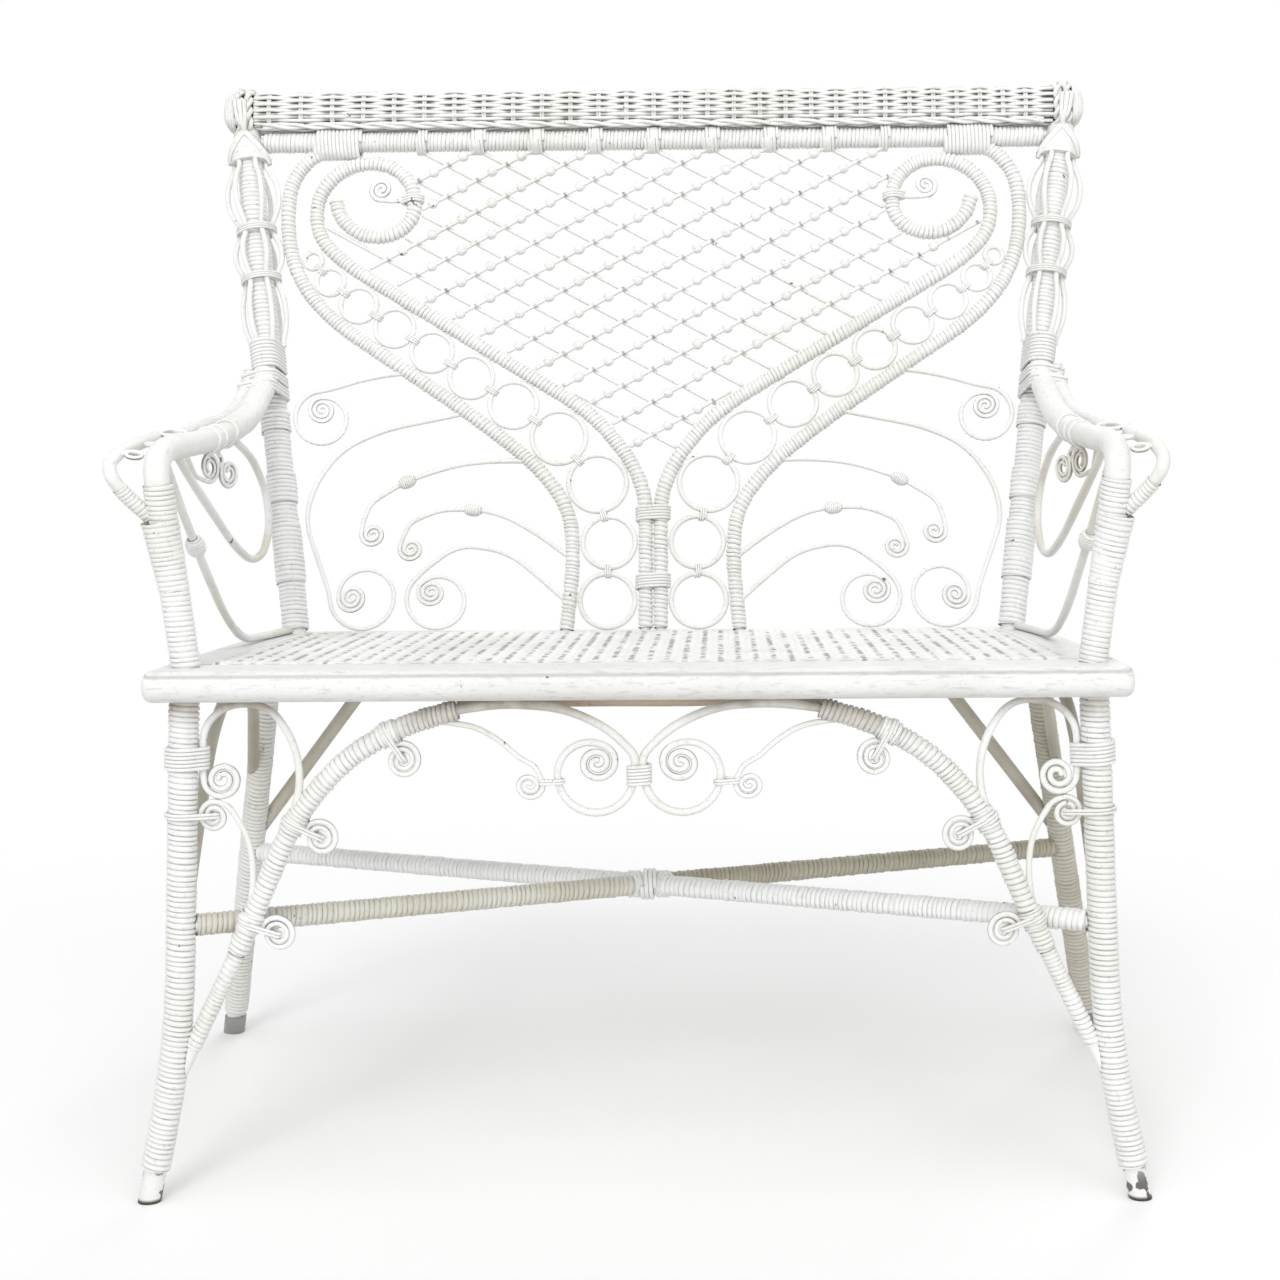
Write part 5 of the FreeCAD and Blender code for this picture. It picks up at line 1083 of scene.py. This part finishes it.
# Coils on the inner side of the arches
apron_coils = Piece()
for near in each(on_apron, ((52.0, 88.0), (69.0, 72.0), (81.0, 54.0))):
    touch = nearest(arch, near)
    inward = unit(near - touch)
    around = np.cross(-APRON_NORMAL, inward)
    centre = touch + inward * (ARCH_R + APRON_COIL + TOUCH)
    coil = turns(centre, inward, around, winding(APRON_COIL - COIL_R + 1, 2.5, 4.0), 180, 1)
    for side in SIDES:
        taper(apron_coils, resample(coil, 1.2) * side, COIL_R + 0.2, 2.1, plane=APRON_NORMAL)
        bind(straps, [(touch * side, ARCH_R), (centre * side, COIL_R)], around * side, 1.3, 2)
        wrap(straps, arch[abs((arch - touch) @ around) < BOUND] * side, ARCH_R - 1.2, 2.4, 3.4, 16)
apron_coils.build("apron_coil_rods", apron_paint, "painted_rod", "apron_coils")


# Scrolls in the corners between legs and seat
def by_leg(share, off):
    """A point off the inner side of a front leg, at a share of the height under the seat."""
    return front_leg_at(share * UNDER) - ACROSS * off


UPPER_TIE, LOWER_TIE, LOWER_OFF = 0.8875, 0.775, 14.0
corner_top = apron_top - CORNER_R
hug = LEG_R + CORNER_R + TOUCH
upper_corner = scroll(each(on_apron, ((78.0, 73.0), (74.6, 84.0), (76.0, 92.0))) + [
                       vec(0.815 * LEG_HALF, 0, corner_top), vec(0.905 * LEG_HALF, 0, corner_top),
                       by_leg(0.95, hug), by_leg(0.88, hug)],
                      by_leg(0.845, LEG_R + APRON_COIL + 4), ACROSS, UP,
                      winding(APRON_COIL - CORNER_R + 2.5, 3.0, 4.4), 0, -1, CORNER_R)
lower_corner = scroll(each(on_apron, ((87.5, 56.0), (85.8, 65.0), (86.6, 73.0))),
                      by_leg(LOWER_TIE, LEG_R + LOWER_OFF + TOUCH), ACROSS, UP,
                      winding(11.4, 2.5, 3.8), 120, -1, 3 * COIL_R)
leg_axis = unit(LEG_TOP - KNEE)
corners = Piece()
for side in SIDES:
    taper(corners, upper_corner * side, CORNER_R + 0.3, 2.5, plane=APRON_NORMAL)
    taper(corners, lower_corner * side, COIL_R + 0.5, 2.1, plane=APRON_NORMAL)
    for piece, level, off, radius, reed, count in ((bindings, UPPER_TIE, hug, CORNER_R, 1.6, 6),
                                                   (straps, LOWER_TIE, LEG_R + LOWER_OFF, COIL_R, 1.3, 2)):
        rods = [(by_leg(level, 0) * side, LEG_R), (by_leg(level, off) * side, radius)]
        bind(piece, rods, leg_axis * side, reed, count)
corners.build("corner_scroll_rods", apron_paint, "painted_rod", "corner_scrolls")
bindings.build("pole_reed_bindings", reed_paint, "reed_wrap", "pole_bindings")
straps.build("coil_straps", reed_paint, "reed_wrap")

# Seat: crosswise weavers over fore-and-aft stakes
CANE_FRONT, CANE_REAR = 34.0, 360.0
CANE_HALF, CANE_TAPER = 357.0, 9.0
SEAT_STAKE, SEAT_ROW, CANE_R, CANE_DEPTH = 15.0, 5.0, 2.35, 1.5
seat = Piece()


def cane_half(y):
    """Half width of the cane panel, which narrows to the rear."""
    return CANE_HALF - CANE_TAPER * (y - CANE_FRONT) / (CANE_REAR - CANE_FRONT)


def on_seat(x, y, lift):
    return vec(x, y, seat_top(y) + lift)


for row, y in enumerate(np.arange(CANE_FRONT + 3, CANE_REAR - 2, SEAT_ROW)):
    half = cane_half(y) - 1
    xs = np.linspace(-half, half, int(2 * half / SEAT_STAKE * 5))
    wave = 1.15 * np.sin(math.pi * xs / SEAT_STAKE + math.pi * row)
    drift = 0.25 * chance.uniform(-1, 1)
    path = np.array([on_seat(x, y + drift, w - CANE_DEPTH) for x, w in zip(xs, wave)])
    # Painted shade on the weavers close to each stake.
    beside = abs((xs / SEAT_STAKE) % 1 - 0.5) * SEAT_STAKE
    sweep(seat, path, CANE_R, 6, gap=np.exp(-(beside / 3.0) ** 2))
stake_half = int(cane_half(CANE_FRONT) / SEAT_STAKE)
for k in range(-stake_half, stake_half):
    x = (k + 0.5) * SEAT_STAKE
    stake = [on_seat(x, y, -CANE_DEPTH) for y in np.linspace(CANE_FRONT + 1, CANE_REAR - 1, 12)]
    sweep(seat, stake, 1.5, 6)
seat.build("seat_weave", cane_paint, "woven_cane", "seat_cane")

# Paint on the solids of the frame
KEPT = {
    foot_paint: ("front_leg_left", "front_leg_right", "rear_leg_left", "rear_leg_right"),
    rail_paint: ("seat_front_rail", "seat_left_rail", "seat_right_rail", "seat_rear_rail"),
    wood_paint: ("seat_dowels", "post_caps"),
    apron_paint: ("front_arch_left", "front_arch_right"),
    cane_paint: ("cane_spline",),
    # Side arches and braces: painted shade with thin old paint.
    worn_and_shaded_paint: ("side_arches", "rear_braces"),
    cap_metal: ("rear_foot_caps",),
}
for name, node in nodes.items():
    node.data.materials.clear()
    node.data.materials.append(next((finish for finish, names in KEPT.items() if name in names), rod_paint))

# Floor, light and camera
floor_mesh = bpy.data.meshes.new("floor")
FLOOR_HALF = 9.0
floor_corners = [(x * FLOOR_HALF, y * FLOOR_HALF, 0) for x, y in ((-1, -1), (1, -1), (1, 1), (-1, 1))]
floor_mesh.from_pydata(floor_corners, [], [(0, 1, 2, 3)])
floor = bpy.data.objects.new("floor", floor_mesh)
bpy.context.scene.collection.objects.link(floor)


def floor_finish():
    """Pale floor that keeps the shadow near the bench and goes white towards the background."""
    material = bpy.data.materials.new("pale_floor")
    shading = Shading(material)
    shader = shading.nodes["Principled BSDF"]
    for label, value in (("Base Color", (0.97, 0.97, 0.97)), ("Roughness", 0.9), ("Specular IOR Level", 0.0)):
        shading.put(shader.inputs[label], value)
    place = shading.node("NewGeometry").outputs["Position"]
    away = shading.node("VectorMath", {0: place}, operation="LENGTH").outputs["Value"]
    in_view = shading.node("LightPath").outputs["Is Camera Ray"]
    white_share = shading.times(shading.ranged(away, 0.55, 1.5), in_view)
    glow = shading.node("Emission").outputs["Emission"]
    mixed = shading.node("MixShader", {0: white_share, 1: shader.outputs["BSDF"], 2: glow})
    shading.put(shading.nodes["Material Output"].inputs["Surface"], mixed.outputs["Shader"])
    return material


floor_mesh.materials.append(floor_finish())


def surroundings(ambient):
    """White to the camera and in reflections, and a soft even light elsewhere."""
    world = bpy.data.worlds.new("studio")
    bpy.context.scene.world = world
    shading = Shading(world)
    backdrop = shading.nodes["Background"]
    rays = shading.node("LightPath").outputs
    white = shading.math("MAXIMUM", rays["Is Camera Ray"], rays["Is Glossy Ray"])
    white = shading.math("MAXIMUM", white, rays["Is Transmission Ray"])
    shading.put(backdrop.inputs["Color"], (1.0, 1.0, 1.0))
    shading.put(backdrop.inputs["Strength"], shading.ranged(white, 0.0, 1.0, ambient, 1.0))


def lamp(name, place, size, power):
    """A large soft lamp aimed at the middle of the bench."""
    light = bpy.data.lights.new(name, "AREA")
    light.size, light.energy = size, power
    holder = bpy.data.objects.new(name, light)
    holder.location = place
    holder.rotation_euler = (Vector((0, 0, 0.5)) - Vector(place)).to_track_quat("-Z", "Y").to_euler()
    bpy.context.scene.collection.objects.link(holder)


surroundings(0.60)
lamp("key", (-1.3, -5.6, 3.9), 2.0, 112)
lamp("fill", (2.0, -4.4, 1.1), 2.0, 20)
lamp("top", (0.0, -1.5, 3.0), 2.6, 30)
lamp("back", (0.6, 2.6, 2.4), 2.0, 28)


def photo_camera():
    """Camera at the photo's viewpoint: bench position in mm, turn, tilt and roll in degrees."""
    turn, tilt, roll = math.radians(0.58), math.radians(6.20), math.radians(-0.44)
    right = Vector((math.cos(turn), math.sin(turn), 0))
    ahead = Vector((-math.sin(turn) * math.cos(tilt), math.cos(turn) * math.cos(tilt), -math.sin(tilt)))
    up = right.cross(ahead)
    right, up = right * math.cos(roll) + up * math.sin(roll), up * math.cos(roll) - right * math.sin(roll)
    view = bpy.data.cameras.new("photo_view")
    view.lens, view.sensor_width = 57.49, 36.0
    view.shift_x, view.shift_y = -0.0482, -0.0060
    view.clip_end = 50
    holder = bpy.data.objects.new("photo_view", view)
    place = Vector((69 * MM, -1654 * MM + FRONT_Y, 657.9 * MM))
    holder.matrix_world = Matrix.Translation(place) @ Matrix((right, up, -ahead)).transposed().to_4x4()
    bpy.context.scene.collection.objects.link(holder)
    bpy.context.scene.camera = holder


photo_camera()
bpy.context.scene.view_settings.view_transform = "Standard"
